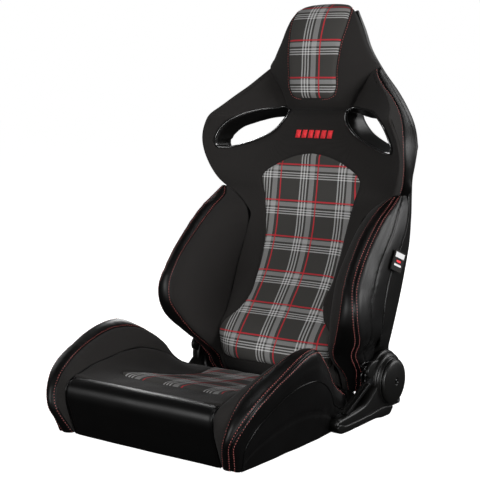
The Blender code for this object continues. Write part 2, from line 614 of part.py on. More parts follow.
def build_cover(side, plastic, metal):
    """Moulded recliner cover: stepped drum, foot and lug, hollow inside, with a snapped-on cap."""
    name = "recliner_cover_" + side_name(side)
    skin = 0.0028
    drum = [
        (0.2455, 0.0710), (0.2540, 0.0710), (0.2555, 0.0695), (0.2557, 0.0655), (0.2645, 0.0648),
        (0.2668, 0.0625), (0.2670, 0.0560), (COVER_X[1], 0.0545),
    ]
    cover = turned_x(name, drum, side, plastic, centre=COVER_CENTRE)
    foot = [
        (-0.019, 0.022), (-0.012, 0.006), (0.008, 0.0005), (0.060, 0.0015), (0.225, 0.004),
        (0.240, 0.020), (0.240, 0.060), (0.160, 0.060), (0.135, 0.048), (0.080, 0.041),
        (0.030, 0.0355), (-0.010, 0.031),
    ]
    lug = link_outline(COVER_CENTRE, (0.150, 0.112), 0.040, 0.020)
    foot_solid = _tapered(f"{name}_foot_shape", foot, (0.2494, 0.2735), side, plastic, 0.004)
    boolean(cover, as_cutter(foot_solid), "UNION")
    lug_solid = prism_x(f"{name}_lug_shape", lug, (0.2500, 0.2600), side, plastic)
    boolean(cover, as_cutter(lug_solid), "UNION")

    hollow = [(0.2400, 0.0710 - skin), (0.2515, 0.0710 - skin), (0.2530, 0.0655 - skin),
              (0.2620, 0.0648 - skin), (0.2640, 0.0560 - skin), (COVER_X[1] - skin, 0.0545 - skin)]
    hollow_drum = turned_x(f"{name}_hollow_shape", hollow, side, plastic, centre=COVER_CENTRE)
    boolean(cover, as_cutter(hollow_drum))
    below = [(0.100, -0.050), (0.350, -0.050), (0.350, 0.0015), (0.100, 0.0015)]
    boolean(cover, as_cutter(prism_x(f"{name}_floor_trim", below, (0.235, 0.290), side, plastic)))
    inner_foot = [
        (-0.015, 0.022), (-0.010, 0.009), (0.009, 0.0035), (0.060, 0.0045), (0.222, 0.007),
        (0.2365, 0.021), (0.2365, 0.056), (0.160, 0.056), (0.136, 0.045), (0.080, 0.038),
        (0.030, 0.0325), (-0.008, 0.028),
    ]
    hollow_foot = _tapered(f"{name}_foot_hollow", inner_foot, (0.2480, 0.2707), side, plastic, 0.004)
    boolean(cover, as_cutter(hollow_foot))
    inner_lug = link_outline(COVER_CENTRE, (0.150, 0.112), 0.038, 0.0172)
    hollow_lug = prism_x(f"{name}_lug_hollow", inner_lug, (0.2480, 0.2572), side, plastic)
    boolean(cover, as_cutter(hollow_lug))
    if side > 0:
        way = [(0.205, 0.064), (0.160, 0.064), (0.085, 0.048), (0.085, 0.175), (0.150, 0.165),
               (0.190, 0.150), (0.205, 0.120)]
        boolean(cover, as_cutter(prism_x(f"{name}_lever_way", way, (0.2540, 0.2625), side, plastic)))
    hole = disc_x(f"{name}_hole", 0.0030, (0.260, 0.290), side, plastic, count=12, centre=COVER_CENTRE)
    boolean(cover, as_cutter(hole))

    cap = [
        (CAP_X[0], 0.0030), (CAP_X[0], 0.0530), (0.2785, 0.0534), (0.2812, 0.0518), (0.2832, 0.0480),
        (0.2856, 0.0340), (0.2868, 0.0180), (CAP_X[1], 0.0062), (0.2845, 0.0062), (0.2845, 0.0030),
    ]
    lathe_x("recliner_cap_" + side_name(side), cap, side, plastic, centre=COVER_CENTRE)
    screw = [(0.2700, 0.0025), (0.2848, 0.0025), (0.2848, 0.0057), (0.2860, 0.0057), (0.2868, 0.0040)]
    turned_x("cover_screw_" + side_name(side), screw, side, metal, count=16, centre=COVER_CENTRE)


def _tapered(name, outline, span, side, material, inset):
    """A prism whose outer face is drawn in by inset, for a moulded look."""
    cy = sum(y for y, z in outline) / len(outline)
    cz = sum(z for y, z in outline) / len(outline)
    face = []
    for y, z in outline:
        reach = hypot(y - cy, z - cz)
        share = 1 - inset / reach
        face.append((cy + (y - cy) * share, cz + (z - cz) * share))
    middle = span[1] - inset
    sections = [
        [(side * span[0], y, z) for y, z in outline],
        [(side * middle, y, z) for y, z in outline],
        [(side * span[1], y, z) for y, z in face],
    ]
    return loft(name, sections, material)


def build_lever(steel, plastic, parent):
    """Release lever: a cranked arm on the shaft, with a ribbed grip pushed over its tongue."""
    outline = [
        (0.147, 0.0820), (0.066, 0.0510), (0.060, 0.0620), (0.1400, 0.0970),
        (PIVOT_Y - 0.012, PIVOT_Z + 0.0135),
    ]
    for i in range(9):
        angle = radians(110 - 220 * i / 8)
        outline.append((PIVOT_Y + 0.0150 * cos(angle), PIVOT_Z + 0.0150 * sin(angle)))
    outline.append((PIVOT_Y - 0.010, PIVOT_Z - 0.0130))
    arm = prism_x("release_lever_arm", outline, LEVER_X, 1, steel, parent)
    bore = disc_x("lever_bore_shape", SHAFT_R + GAP, (0.250, 0.265), 1, steel, count=16, parent=parent)
    boolean(arm, as_cutter(bore))

    grip_outline = [
        (0.1185, 0.0745), (0.0240, 0.0385), (0.0120, 0.0390), (0.0060, 0.0440), (0.0090, 0.0510),
        (0.1090, 0.0985), (0.1195, 0.0940), (0.1175, 0.0850),
    ]
    grip = prism_x("release_lever_grip", grip_outline, GRIP_X, 1, plastic, parent)
    socket = [(0.160, 0.0860), (0.0662, 0.0504), (0.0592, 0.0624), (0.1420, 0.0990), (0.160, 0.103)]
    pocket = prism_x("grip_socket_shape", socket, (LEVER_X[0] - GAP, LEVER_X[1] + GAP), 1, plastic, parent)
    boolean(grip, as_cutter(pocket))

    reach = LEVER_X[1] + 0.003
    disc_x("release_shaft", SHAFT_R, (-reach, reach), 1, steel, count=16, parent=parent)


# ---- backrest -------------------------------------------------------------------------------
def build_back_frame(steel, wire, parent):
    """Tubular hoop between the two side plates, with a lower bar and two zigzag springs."""
    half = [
        (0.2120, 0.240, 0.150), (0.2120, 0.252, 0.220), (0.2120, 0.284, 0.320), (0.2110, 0.318, 0.420),
        (0.2020, 0.336, 0.500), (0.1600, 0.344, 0.565), (0.1000, 0.353, 0.612), (0.0620, 0.359, 0.680),
        (0.0540, 0.364, 0.780), (0.0500, 0.366, 0.860), (0.0340, 0.367, 0.900), (0.0, 0.367, 0.912),
    ]
    path = half + [(-x, y, z) for x, y, z in reversed(half[:-1])]
    tube("back_frame_hoop", smooth_path(path, 3), HOOP_R, steel, parent)

    reach = 0.2120 - HOOP_R - GAP
    disc_x("back_lower_bar", 0.0090, (-reach, reach), 1, steel, count=16, parent=parent,
           centre=(0.2420, 0.165))
    for number, (y, z) in enumerate(((0.2905, 0.300), (0.3180, 0.390)), start=1):
        turns = 9
        points = [(-reach + 0.004, y, z)]
        for i in range(turns):
            x = -0.160 + 0.320 * i / (turns - 1)
            rise = 0.022 if i % 2 == 0 else -0.022
            points.append((x - 0.010, y + 0.3 * rise, z + rise))
            points.append((x + 0.010, y + 0.3 * rise, z + rise))
        points.append((reach - 0.004, y, z))
        tube(f"back_spring_{number}", points, 0.0022, wire, parent)

    for side in (1, -1):
        outline = []
        for i in range(15):
            angle = radians(100 + 250 * i / 14)
            outline.append((PIVOT_Y + 0.0460 * cos(angle), PIVOT_Z + 0.0460 * sin(angle)))
        outline += [(0.270, 0.106), (0.254, 0.150), (0.259, 0.200), (0.266, 0.242), (0.258, 0.252),
                    (0.243, 0.246), (0.224, 0.200), (0.208, 0.140)]
        arm = prism_x("back_arm_plate_" + side_name(side), outline, ARM_X, side, steel, parent)
        bore = disc_x("arm_bore_shape", SHAFT_R + RUNNING_GAP, (0.220, 0.232), side, steel, count=16,
                      parent=parent)
        boolean(arm, as_cutter(bore))
        count = 2 * RING_TEETH
        inner = []
        for i in range(count):
            angle = 2 * pi * i / count
            radius = RING_TIP_R if i % 2 == 0 else RING_ROOT_R
            inner.append((PIVOT_Y + radius * cos(angle), PIVOT_Z + radius * sin(angle)))
        outer = circle(RING_OUTER_R, count, (PIVOT_Y, PIVOT_Z))
        ring_x("recliner_ring_" + side_name(side), outer, inner, RING_X, side, steel, parent)


def slot_outline(side, grow):
    """The harness slot's outline, moved outwards by grow."""
    shape = []
    count = len(HARNESS_SLOT)
    for i, (x, z) in enumerate(HARNESS_SLOT):
        before = HARNESS_SLOT[i - 1]
        after = HARNESS_SLOT[(i + 1) % count]
        along = Vector((after[0] - before[0], after[1] - before[1])).normalized()
        normal = Vector((along.y, -along.x))
        if normal.dot(Vector((x - SLOT_MIDDLE[0], z - SLOT_MIDDLE[1]))) < 0:
            normal = -normal
        shape.append((side * (x + grow * normal.x), z + grow * normal.y))
    return shape


def slot_cutter(name, side, grow, material, parent):
    sections = [[(x, y, z) for x, z in slot_outline(side, grow)] for y in (0.100, 0.460)]
    return as_cutter(loft(name, sections, material, parent))


def build_back_pads(fabric, leather, plaid, parent):
    levels = sorted({row[0] for row in WING_EDGE} | {0.105, 0.145, 0.187, 0.260, 0.290, 0.350})
    rows = [(z, value(WING_EDGE, z) - GAP) for z in levels]
    cushion = slab("back_cushion", rows, 18, back_front, back_rear, on_back, fabric, parent)
    head_space = [(-VALLEY_HIGH[0], VALLEY_HIGH[1]), (-VALLEY_LOW[0], VALLEY_LOW[1]), VALLEY_LOW,
                  VALLEY_HIGH]
    cutter = loft("head_space_shape", [[(x, y, z) for x, z in head_space] for y in (0.15, 0.45)],
                  fabric, parent)
    boolean(cushion, as_cutter(cutter))
    for side in (1, -1):
        boolean(cushion, slot_cutter(f"cushion_slot_{side_name(side)}", side, SLOT_LIP + 0.0015, fabric, parent))
    pocket = slab(
        "back_insert_pocket", [(z, half + GAP) for z, half in BACK_INSERT], 8,
        lambda x, z: back_front(x, z) - 0.020, lambda x, z: back_front(x, z) + PAD_DEPTH,
        on_back, fabric, parent)
    boolean(cushion, as_cutter(pocket))
    trimmed = [(z, half) for z, half in BACK_INSERT]
    trimmed[0] = (trimmed[0][0] + GAP, trimmed[0][1])
    trimmed[-1] = (trimmed[-1][0] - GAP, trimmed[-1][1] - 2 * GAP)
    slab("back_insert", trimmed, 8, lambda x, z: back_front(x, z) - INSERT_PROUD,
         lambda x, z: back_front(x, z) + PAD_DEPTH - 2 * GAP, on_back, plaid, parent)

    slope = (VALLEY_HIGH[0] - VALLEY_LOW[0]) / (VALLEY_HIGH[1] - VALLEY_LOW[1])
    rows = [(z, min(half, VALLEY_LOW[0] + slope * (z - VALLEY_LOW[1]) - 2 * GAP))
            for z, half, middle, edge in HEAD]
    head = slab("head_cushion", rows, 12, head_front, head_rear, on_back, fabric, parent)
    for side in (1, -1):
        boolean(head, slot_cutter(f"head_slot_{side_name(side)}", side, SLOT_LIP + 0.0015, fabric, parent))
    pocket = slab(
        "head_insert_pocket", [(z, half + GAP) for z, half in HEAD_INSERT], 6,
        lambda x, z: head_front(x, z) - 0.020, lambda x, z: head_front(x, z) + PAD_DEPTH,
        on_back, fabric, parent)
    boolean(head, as_cutter(pocket))
    trimmed = [(z, half) for z, half in HEAD_INSERT]
    trimmed[0] = (trimmed[0][0] + GAP, trimmed[0][1] - GAP)
    trimmed[-1] = (trimmed[-1][0] - GAP, trimmed[-1][1])
    slab("head_insert", trimmed, 6, lambda x, z: head_front(x, z) - INSERT_PROUD,
         lambda x, z: head_front(x, z) + PAD_DEPTH - 2 * GAP, on_back, plaid, parent)


def build_back_bolsters(leather, parent):
    for side in (1, -1):
        sections = []
        for z, inner, seam_in, seam_out, flank, rear in BACK_BOLSTER:
            middle = ((seam_in[0] + seam_out[0]) / 2, (seam_in[1] + seam_out[1]) / 2 - 0.005)
            shape = [inner, seam_in, middle, seam_out, flank, rear, (inner[0], value(BOLSTER_REAR, z))]
            sections.append([(side * x, y, z) for x, y in shape])
        loft("back_bolster_" + side_name(side), sections, leather, parent)


def build_shell(plastic, parent):
    """Rear shell: a tray that wraps the frame from the side edges round the back."""
    sections = []
    for (z, edge_x, edge_y), (_, corner_x, corner_y, middle_y) in zip(FLANGE, SHELL_REAR):
        half = []
        flank = (0.55 * edge_x + 0.45 * corner_x + 0.004, 0.5 * (edge_y + corner_y))
        half += [(edge_x, edge_y), flank, (corner_x, corner_y)]
        for share in (0.88, 0.62, 0.32):
            x = corner_x * share
            half.append((x, middle_y + (corner_y - middle_y) * share**2.4))
        outer = half + [(0.0, middle_y)] + [(-x, y) for x, y in reversed(half)]
        inner = []
        for i, (x, y) in enumerate(outer):
            before = outer[max(i - 1, 0)]
            after = outer[min(i + 1, len(outer) - 1)]
            along = Vector((after[0] - before[0], after[1] - before[1])).normalized()
            normal = Vector((along.y, -along.x))
            if normal.dot(Vector((x, y - 0.10))) > 0:
                normal = -normal
            inner.append((x + SHELL_WALL * normal.x, y + SHELL_WALL * normal.y))
        sections.append([(x, y, z) for x, y in outer + inner[::-1]])
    shell = loft("back_shell", sections, plastic, parent)
    for side in (1, -1):
        boolean(shell, slot_cutter(f"shell_slot_{side_name(side)}", side, 0.0010, plastic, parent))


def build_slot_liners(plastic, parent):
    """A tunnel of moulded plastic in each harness slot, with a lip at the front and the rear."""
    wall = 0.0030
    for side in (1, -1):
        outer = slot_outline(side, 0.0)
        inner = slot_outline(side, -wall)
        wide = slot_outline(side, SLOT_LIP)
        sections = []
        for (xo, zo), (xi, zi), (xw, zw) in zip(outer, inner, wide):
            front = min(back_front(xw, zw), head_front(xw, zw) if zw > 0.7035 and abs(xw) < 0.10 else 1.0)
            rear = shell_rear(xw, zw)
            sections.append([
                (xo, front - 0.0008, zo), (xw, front - 0.0008, zw), (xw, front - 0.0035, zw),
                (xi, front - 0.0040, zi), (xi, rear + 0.0040, zi), (xw, rear + 0.0035, zw),
                (xw, rear + 0.0012, zw), (xo, rear + 0.0012, zo),
            ])
        loft("harness_bezel_" + side_name(side), sections, plastic, parent, closed=True)


def shell_rear(x, z):
    corner = value(SHELL_REAR, z)
    corner_y = value(SHELL_REAR, z, 2)
    middle_y = value(SHELL_REAR, z, 3)
    share = min(1.0, abs(x) / corner)
    return middle_y + (corner_y - middle_y) * share**2.4


def build_back_skirt(fabric, parent):
    """Cloth flap under the back cushion that closes the gap behind the seat cushion."""
    outline = [(0.1812, 0.0555), (0.1952, 0.0232), (0.1975, 0.0240), (0.1838, 0.0560), (0.1828, 0.0780),
               (0.1808, 0.0780)]
    reach = RAIL_WEB[0] - GAP
    loft("back_skirt", [[(x, y, z) for y, z in outline] for x in (-reach, reach)], fabric, parent)


def build_tag(fabric, parent):
    """Small folded tag sewn into the side seam on the lever side."""
    outline = [(0.2120, 0.3900), (0.2600, 0.3730), (0.2350, 0.3310), (0.1880, 0.3480)]
    prism_x("side_tag", outline, (0.2800, 0.2815), 1, fabric, parent)


# ---- assembly -------------------------------------------------------------------------------
def main():
    for item in list(bpy.data.objects):
        bpy.data.objects.remove(item)

    fabric = make_material("woven_fabric", (0.030, 0.028, 0.029), 0.9)
    leather = make_material("black_leather", (0.012, 0.012, 0.012), 0.42)
    plaid = make_material("plaid_fabric", (0.16, 0.15, 0.15), 0.9)
    plastic = make_material("moulded_plastic", (0.018, 0.018, 0.018), 0.45)
    gloss = make_material("gloss_plastic", (0.010, 0.010, 0.010), 0.15)
    steel = make_material("black_steel", (0.030, 0.030, 0.032), 0.40, 0.7)
    wire = make_material("spring_steel", (0.25, 0.25, 0.26), 0.35, 1.0)
    bolt_metal = make_material("zinc_bolt", (0.45, 0.45, 0.46), 0.35, 1.0)

    pivot = (0.0, PIVOT_Y, PIVOT_Z)
    back_axis = add_empty("backrest_axis", pivot)
    lever_axis = add_empty("lever_axis", pivot)
    pawl_parents = {(side, way): add_empty(f"pawl_slide_{side_name(side)}_{way}",
                                           (side * PAWL_X[0], PIVOT_Y, PIVOT_Z + way * 0.024))
                    for side in (1, -1) for way in (1, -1)}

    bolt_centres = [(0.1300, 0.0110), (0.2980, 0.0105)]
    build_rails(steel, bolt_centres)
    build_cross_tubes(steel)
    build_rear_panel(steel)
    build_seat_springs(wire)
    build_cushion(fabric, leather, plaid)
    build_thigh_bolsters(leather)
    for side in (1, -1):
        build_recliner_plates(side, steel, bolt_centres)
        build_plate_bolts(side, bolt_metal, bolt_centres)
        build_pawls(side, steel, pawl_parents)
        build_cams(side, steel, lever_axis)
        build_return_spring(side, wire)
        build_cover(side, plastic, bolt_metal)
    build_lever(steel, plastic, lever_axis)
    build_back_frame(steel, wire, back_axis)
    build_back_pads(fabric, leather, plaid, back_axis)
    build_back_bolsters(leather, back_axis)
    build_shell(plastic, back_axis)
    build_slot_liners(gloss, back_axis)
    build_back_skirt(fabric, back_axis)
    build_tag(fabric, back_axis)


main()
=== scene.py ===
"""Looks of the reclining sport seat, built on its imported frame.

Metres, +Z up, the seat faces -Y and +X is the side with the release lever.
Each pad is a grid of points through a few rails. A rail is a line along the pad, such as a seam.
Grooves, crowns and puckers are moves of the grid along its normals, counted from the seams.
"""

import math

import bmesh
import bpy
import numpy as np
from mathutils import Matrix, Vector


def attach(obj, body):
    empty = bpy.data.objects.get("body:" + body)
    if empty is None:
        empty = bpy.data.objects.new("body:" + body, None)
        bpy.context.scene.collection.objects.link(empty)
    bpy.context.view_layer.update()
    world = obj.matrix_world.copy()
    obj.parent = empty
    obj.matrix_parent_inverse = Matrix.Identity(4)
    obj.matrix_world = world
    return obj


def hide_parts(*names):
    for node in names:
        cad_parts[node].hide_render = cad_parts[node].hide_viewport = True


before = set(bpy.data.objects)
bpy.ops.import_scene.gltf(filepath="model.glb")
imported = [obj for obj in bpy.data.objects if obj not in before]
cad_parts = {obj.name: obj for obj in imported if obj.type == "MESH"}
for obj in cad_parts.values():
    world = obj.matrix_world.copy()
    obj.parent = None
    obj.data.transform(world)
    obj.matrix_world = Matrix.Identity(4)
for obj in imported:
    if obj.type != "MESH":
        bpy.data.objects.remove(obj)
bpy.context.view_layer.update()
SIDES = ((1, "right"), (-1, "left"))

# ---- seams and edges of the lever side; the other side is their mirror image -----------------
# Thigh bolster, one row for each station round it: distance back of the underside, (back, up) of
# the inner wall's top, then (out, back, up) of the inner seam, the double seam and the side.
THIGH = [
    (-0.338, (-0.346, 0.004), (0.206, -0.349, 0.004), (0.236, -0.357, 0.004), (0.251, -0.346, 0.003)),
    (-0.334, (-0.364, 0.045), (0.219, -0.370, 0.042), (0.243, -0.369, 0.032), (0.255, -0.348, 0.028)),
    (-0.324, (-0.376, 0.084), (0.230, -0.379, 0.076), (0.253, -0.382, 0.064), (0.260, -0.348, 0.052)),
    (-0.310, (-0.374, 0.112), (0.236, -0.373, 0.104), (0.262, -0.377, 0.086), (0.265, -0.338, 0.072)),
    (-0.294, (-0.360, 0.127), (0.238, -0.358, 0.127), (0.271, -0.364, 0.109), (0.269, -0.322, 0.090)),
    (-0.272, (-0.333, 0.136), (0.240, -0.330, 0.151), (0.281, -0.338, 0.138), (0.273, -0.297, 0.106)),
    (-0.246, (-0.295, 0.146), (0.243, -0.295, 0.170), (0.287, -0.298, 0.163), (0.276, -0.260, 0.124)),
    (-0.212, (-0.245, 0.153), (0.246, -0.245, 0.189), (0.289, -0.248, 0.185), (0.278, -0.222, 0.139)),
    (-0.180, (-0.200, 0.158), (0.246, -0.200, 0.201), (0.288, -0.200, 0.203), (0.279, -0.185, 0.147)),
    (-0.148, (-0.160, 0.160), (0.241, -0.160, 0.206), (0.285, -0.160, 0.213), (0.279, -0.150, 0.149)),
    (-0.120, (-0.125, 0.158), (0.233, -0.125, 0.203), (0.281, -0.125, 0.213), (0.278, -0.118, 0.146)),
    (-0.095, (-0.095, 0.150), (0.227, -0.095, 0.194), (0.268, -0.095, 0.202), (0.275, -0.090, 0.136)),
    (-0.060, (-0.060, 0.138), (0.222, -0.060, 0.175), (0.257, -0.060, 0.178), (0.268, -0.058, 0.118)),
    (-0.025, (-0.025, 0.122), (0.218, -0.025, 0.148), (0.247, -0.025, 0.150), (0.258, -0.025, 0.090)),
    (0.000, (0.000, 0.105), (0.215, 0.000, 0.118), (0.2435, 0.000, 0.117), (0.247, 0.000, 0.065)),
    (0.040, (0.040, 0.087), (0.212, 0.040, 0.088), (0.2395, 0.040, 0.086), (0.244, 0.040, 0.045)),
    (0.072, (0.072, 0.078), (0.209, 0.072, 0.078), (0.230, 0.072, 0.073), (0.240, 0.072, 0.035)),
]
# Distance back, and distance out of the bolster's lower edge.
THIGH_FOOT = [
    (-0.40, 0.2505), (-0.12, 0.2505), (-0.06, 0.2495), (-0.025, 0.2465), (0.0, 0.244), (0.08, 0.243),
]
# Back bolster: height, then (out, back) of the front wall, inner seam, double seam, side, rear edge.
BACK_SIDE = [
    (0.052, (0.166, 0.172), (0.182, 0.169), (0.210, 0.169), (0.222, 0.173), (0.223, 0.179)),
    (0.072, (0.166, 0.164), (0.184, 0.159), (0.217, 0.161), (0.227, 0.169), (0.228, 0.179)),
    (0.085, (0.166, 0.158), (0.184, 0.154), (0.219, 0.156), (0.229, 0.166), (0.230, 0.178)),
    (0.100, (0.166, 0.152), (0.186, 0.140), (0.227, 0.146), (0.236, 0.162), (0.237, 0.178)),
    (0.125, (0.166, 0.134), (0.188, 0.108), (0.235, 0.122), (0.243, 0.150), (0.242, 0.179)),
    (0.160, (0.166, 0.124), (0.200, 0.069), (0.249, 0.083), (0.2490, 0.130), (0.249, 0.179)),
    (0.200, (0.166, 0.150), (0.221, 0.045), (0.277, 0.052), (0.2755, 0.112), (0.266, 0.179)),
    (0.240, (0.166, 0.172), (0.238, 0.028), (0.283, 0.034), (0.2815, 0.105), (0.269, 0.180)),
    (0.280, (0.166, 0.187), (0.243, 0.030), (0.281, 0.032), (0.282, 0.106), (0.272, 0.185)),
    (0.320, (0.166, 0.203), (0.240, 0.046), (0.272, 0.046), (0.281, 0.122), (0.273, 0.196)),
    (0.360, (0.166, 0.223), (0.236, 0.075), (0.267, 0.074), (0.278, 0.148), (0.273, 0.220)),
    (0.400, (0.166, 0.242), (0.231, 0.114), (0.264, 0.110), (0.276, 0.182), (0.272, 0.256)),
    (0.430, (0.166, 0.250), (0.228, 0.148), (0.262, 0.142), (0.273, 0.212), (0.2705, 0.277)),
    (0.460, (0.178, 0.256), (0.228, 0.188), (0.260, 0.180), (0.269, 0.236), (0.2675, 0.292)),
    (0.490, (0.214, 0.262), (0.231, 0.240), (0.258, 0.232), (0.264, 0.262), (0.2635, 0.300)),
    (0.508, (0.244, 0.268), (0.246, 0.262), (0.256, 0.262), (0.259, 0.280), (0.258, 0.302)),
]
# Height, and distance back of the bolster's inner rear edge.
BOLSTER_REAR = [
    (0.05, 0.180), (0.07, 0.181), (0.10, 0.183), (0.16, 0.190), (0.24, 0.218), (0.32, 0.266),
    (0.40, 0.302), (0.447, 0.310), (0.51, 0.303),
]
# Wings and shoulders: height, (out, back) of the front edge, and of the seam behind it.
WING = [
    (0.055, (0.165, 0.166), (0.165, 0.172)), (0.068, (0.165, 0.154), (0.165, 0.162)),
    (0.085, (0.165, 0.146), (0.165, 0.157)), (0.130, (0.165, 0.132), (0.165, 0.142)),
    (0.165, (0.165, 0.123), (0.165, 0.135)), (0.215, (0.165, 0.160), (0.165, 0.170)),
    (0.319, (0.165, 0.203), (0.165, 0.213)), (0.374, (0.165, 0.230), (0.165, 0.240)),
    (0.410, (0.165, 0.245), (0.165, 0.256)), (0.447, (0.166, 0.255), (0.168, 0.270)),
    (0.480, (0.206, 0.262), (0.214, 0.278)), (0.505, (0.243, 0.262), (0.249, 0.282)),
    (0.523, (0.257, 0.249), (0.262, 0.272)), (0.550, (0.271, 0.233), (0.274, 0.256)),
    (0.580, (0.281, 0.221), (0.283, 0.242)), (0.610, (0.284, 0.211), (0.2855, 0.233)),
    (0.640, (0.281, 0.203), (0.2830, 0.236)), (0.668, (0.272, 0.199), (0.2735, 0.252)),
    (0.690, (0.261, 0.203), (0.2605, 0.268)), (0.712, (0.247, 0.233), (0.2445, 0.279)),
    (0.742, (0.218, 0.267), (0.2160, 0.290)), (0.761, (0.195, 0.285), (0.1940, 0.297)),
    (0.786, (0.171, 0.307), (0.1690, 0.3135)), (0.808, (0.155, 0.332), (0.1550, 0.334)),
]
# Rear shell: height, then out and back of its front edge.
FLANGE = [
    (0.125, 0.240, 0.184), (0.150, 0.240, 0.183), (0.158, 0.251, 0.182), (0.200, 0.266, 0.180),
    (0.280, 0.2725, 0.186), (0.340, 0.2735, 0.209), (0.400, 0.2725, 0.259), (0.450, 0.270, 0.290),
    (0.505, 0.262, 0.306), (0.550, 0.273, 0.294), (0.580, 0.281, 0.290), (0.630, 0.2835, 0.294),
    (0.670, 0.2715, 0.296), (0.710, 0.246, 0.305), (0.750, 0.208, 0.325), (0.800, 0.160, 0.350),
    (0.850, 0.125, 0.352), (0.900, 0.105, 0.352), (0.945, 0.084, 0.356),
]
# Rear shell: height, then out and back of its rear corner, and back at the middle.
SHELL = [
    (0.125, 0.237, 0.266, 0.280), (0.150, 0.237, 0.264, 0.284), (0.158, 0.238, 0.264, 0.286),
    (0.200, 0.240, 0.277, 0.300), (0.280, 0.241, 0.308, 0.332),
    (0.340, 0.242, 0.328, 0.352), (0.400, 0.242, 0.345, 0.368), (0.450, 0.241, 0.350, 0.377),
    (0.505, 0.238, 0.358, 0.384), (0.550, 0.254, 0.330, 0.388), (0.580, 0.266, 0.318, 0.391),
    (0.630, 0.270, 0.322, 0.393), (0.670, 0.257, 0.335, 0.395), (0.710, 0.230, 0.350, 0.396),
    (0.750, 0.195, 0.366, 0.397), (0.800, 0.145, 0.378, 0.397), (0.850, 0.110, 0.383, 0.397),
    (0.900, 0.090, 0.383, 0.396), (0.945, 0.068, 0.382, 0.393),
]
# Backrest: height, and distance back of its front at the middle.
BACK_MIDDLE = [
    (0.055, 0.150), (0.068, 0.128), (0.085, 0.112), (0.105, 0.098), (0.130, 0.091), (0.165, 0.108),
    (0.235, 0.166), (0.311, 0.222), (0.390, 0.256), (0.478, 0.273), (0.568, 0.285), (0.650, 0.292),
    (0.690, 0.303), (0.708, 0.320), (0.740, 0.332), (0.808, 0.335),
]
# Head pad: height, half width, front at the middle and at the edge.
HEAD = [
    (0.699, 0.086, 0.326, 0.326), (0.707, 0.092, 0.302, 0.316), (0.722, 0.098, 0.289, 0.315),
    (0.740, 0.106, 0.283, 0.317), (0.770, 0.128, 0.281, 0.321), (0.790, 0.146, 0.282, 0.325),
    (0.808, 0.1565, 0.283, 0.328), (0.833, 0.140, 0.284, 0.325), (0.868, 0.121, 0.288, 0.324),
    (0.905, 0.1055, 0.300, 0.327), (0.932, 0.092, 0.314, 0.333), (0.948, 0.080, 0.329, 0.342),
    (0.957, 0.066, 0.345, 0.352),
]
# Seat cushion: distance back, and height of its top at the middle.
CUSHION_TOP = [
    (-0.345, 0.1275), (-0.300, 0.127), (-0.255, 0.1225), (-0.200, 0.116), (-0.120, 0.103),
    (-0.050, 0.093), (0.000, 0.088), (0.040, 0.084), (0.072, 0.079),
]
# Plaid inserts: distance back or height, and half width.
SEAT_INSERT = [
    (-0.2560, 0.142), (-0.2480, 0.150), (-0.2200, 0.142), (-0.1600, 0.122), (-0.1000, 0.107),
    (-0.0500, 0.101), (0.0000, 0.112), (0.0400, 0.130), (0.0700, 0.140),
]
BACK_INSERT = [
    (0.1020, 0.150), (0.1120, 0.158), (0.1400, 0.162), (0.1650, 0.160), (0.1850, 0.154),
    (0.2180, 0.122), (0.2520, 0.107), (0.2930, 0.109), (0.3400, 0.111), (0.3890, 0.114),
    (0.4400, 0.121), (0.4900, 0.131), (0.5370, 0.1415), (0.5480, 0.133), (0.5640, 0.108),
    (0.5800, 0.076), (0.5910, 0.042), (0.5970, 0.0),
]
HEAD_INSERT = [
    (0.7330, 0.046), (0.7380, 0.056), (0.7480, 0.062), (0.8000, 0.067), (0.8720, 0.074),
    (0.9200, 0.0790), (0.9540, 0.0760),
]
# Right harness slot, round its front edge: out, height.
SLOT = [
    (0.0850, 0.7010), (0.0880, 0.6840), (0.1000, 0.6660), (0.1180, 0.6490), (0.1430, 0.6350),
    (0.1720, 0.6230), (0.2040, 0.6130), (0.2390, 0.6075), (0.2510, 0.6095), (0.2545, 0.6170),
    (0.2500, 0.6340), (0.2400, 0.6530), (0.2270, 0.6690), (0.1990, 0.6880), (0.1640, 0.7010),
    (0.1260, 0.7060), (0.0950, 0.7080),
]
WALL_X = 0.2042             # inner wall of the thigh bolsters
RAIL_CLEAR_X = 0.241        # hollow under a thigh bolster, over the base rail
RAIL_CLEAR_Z = 0.052
COVER_CENTRE = (0.2165, 0.0775)   # back, up
HEAD_CENTRE = np.array([0.0, 0.40, 0.82])
PLAID_PERIOD_X = 0.109
PLAID_PERIOD_Z = 0.0905
PLAID_START_X = -0.0268
DOUBLE_SEAM_SPREAD = 0.0052
STITCH_OFFSET = 0.0036      # distance of a single row of stitches from its seam
INSERT_GROOVE = 0.0030
INSERT_GROOVE_WIDTH = 0.004
SLOT_GAP = 0.0012           # the cover ends this far outside the slot's outline


# ---- curves and grids -------------------------------------------------------------------------
def spline(points, knots, where):
    """Smooth values at where, through points at knots; points may have any trailing shape."""
    points = np.asarray(points, float)
    knots = np.asarray(knots, float)
    step = np.diff(knots)
    shape = (-1,) + (1,) * (points.ndim - 1)
    slope = np.diff(points, axis=0) / step.reshape(shape)
    tangent = np.empty_like(points)
    weight = (step[:-1] / (step[:-1] + step[1:])).reshape(shape)
    tangent[1:-1] = slope[:-1] * (1 - weight) + slope[1:] * weight
    tangent[0] = slope[0]
    tangent[-1] = slope[-1]
    where = np.asarray(where, float)
    span = np.clip(np.searchsorted(knots, where, side="right") - 1, 0, len(step) - 1)
    length = step[span]
    t = ((where - knots[span]) / length).reshape(shape)
    length = length.reshape(shape)
    a, b = points[span], points[span + 1]
    ta, tb = tangent[span] * length, tangent[span + 1] * length
    return (
        a * (2 * t**3 - 3 * t**2 + 1) + ta * (t**3 - 2 * t**2 + t)
        + b * (3 * t**2 - 2 * t**3) + tb * (t**3 - t**2)
    )


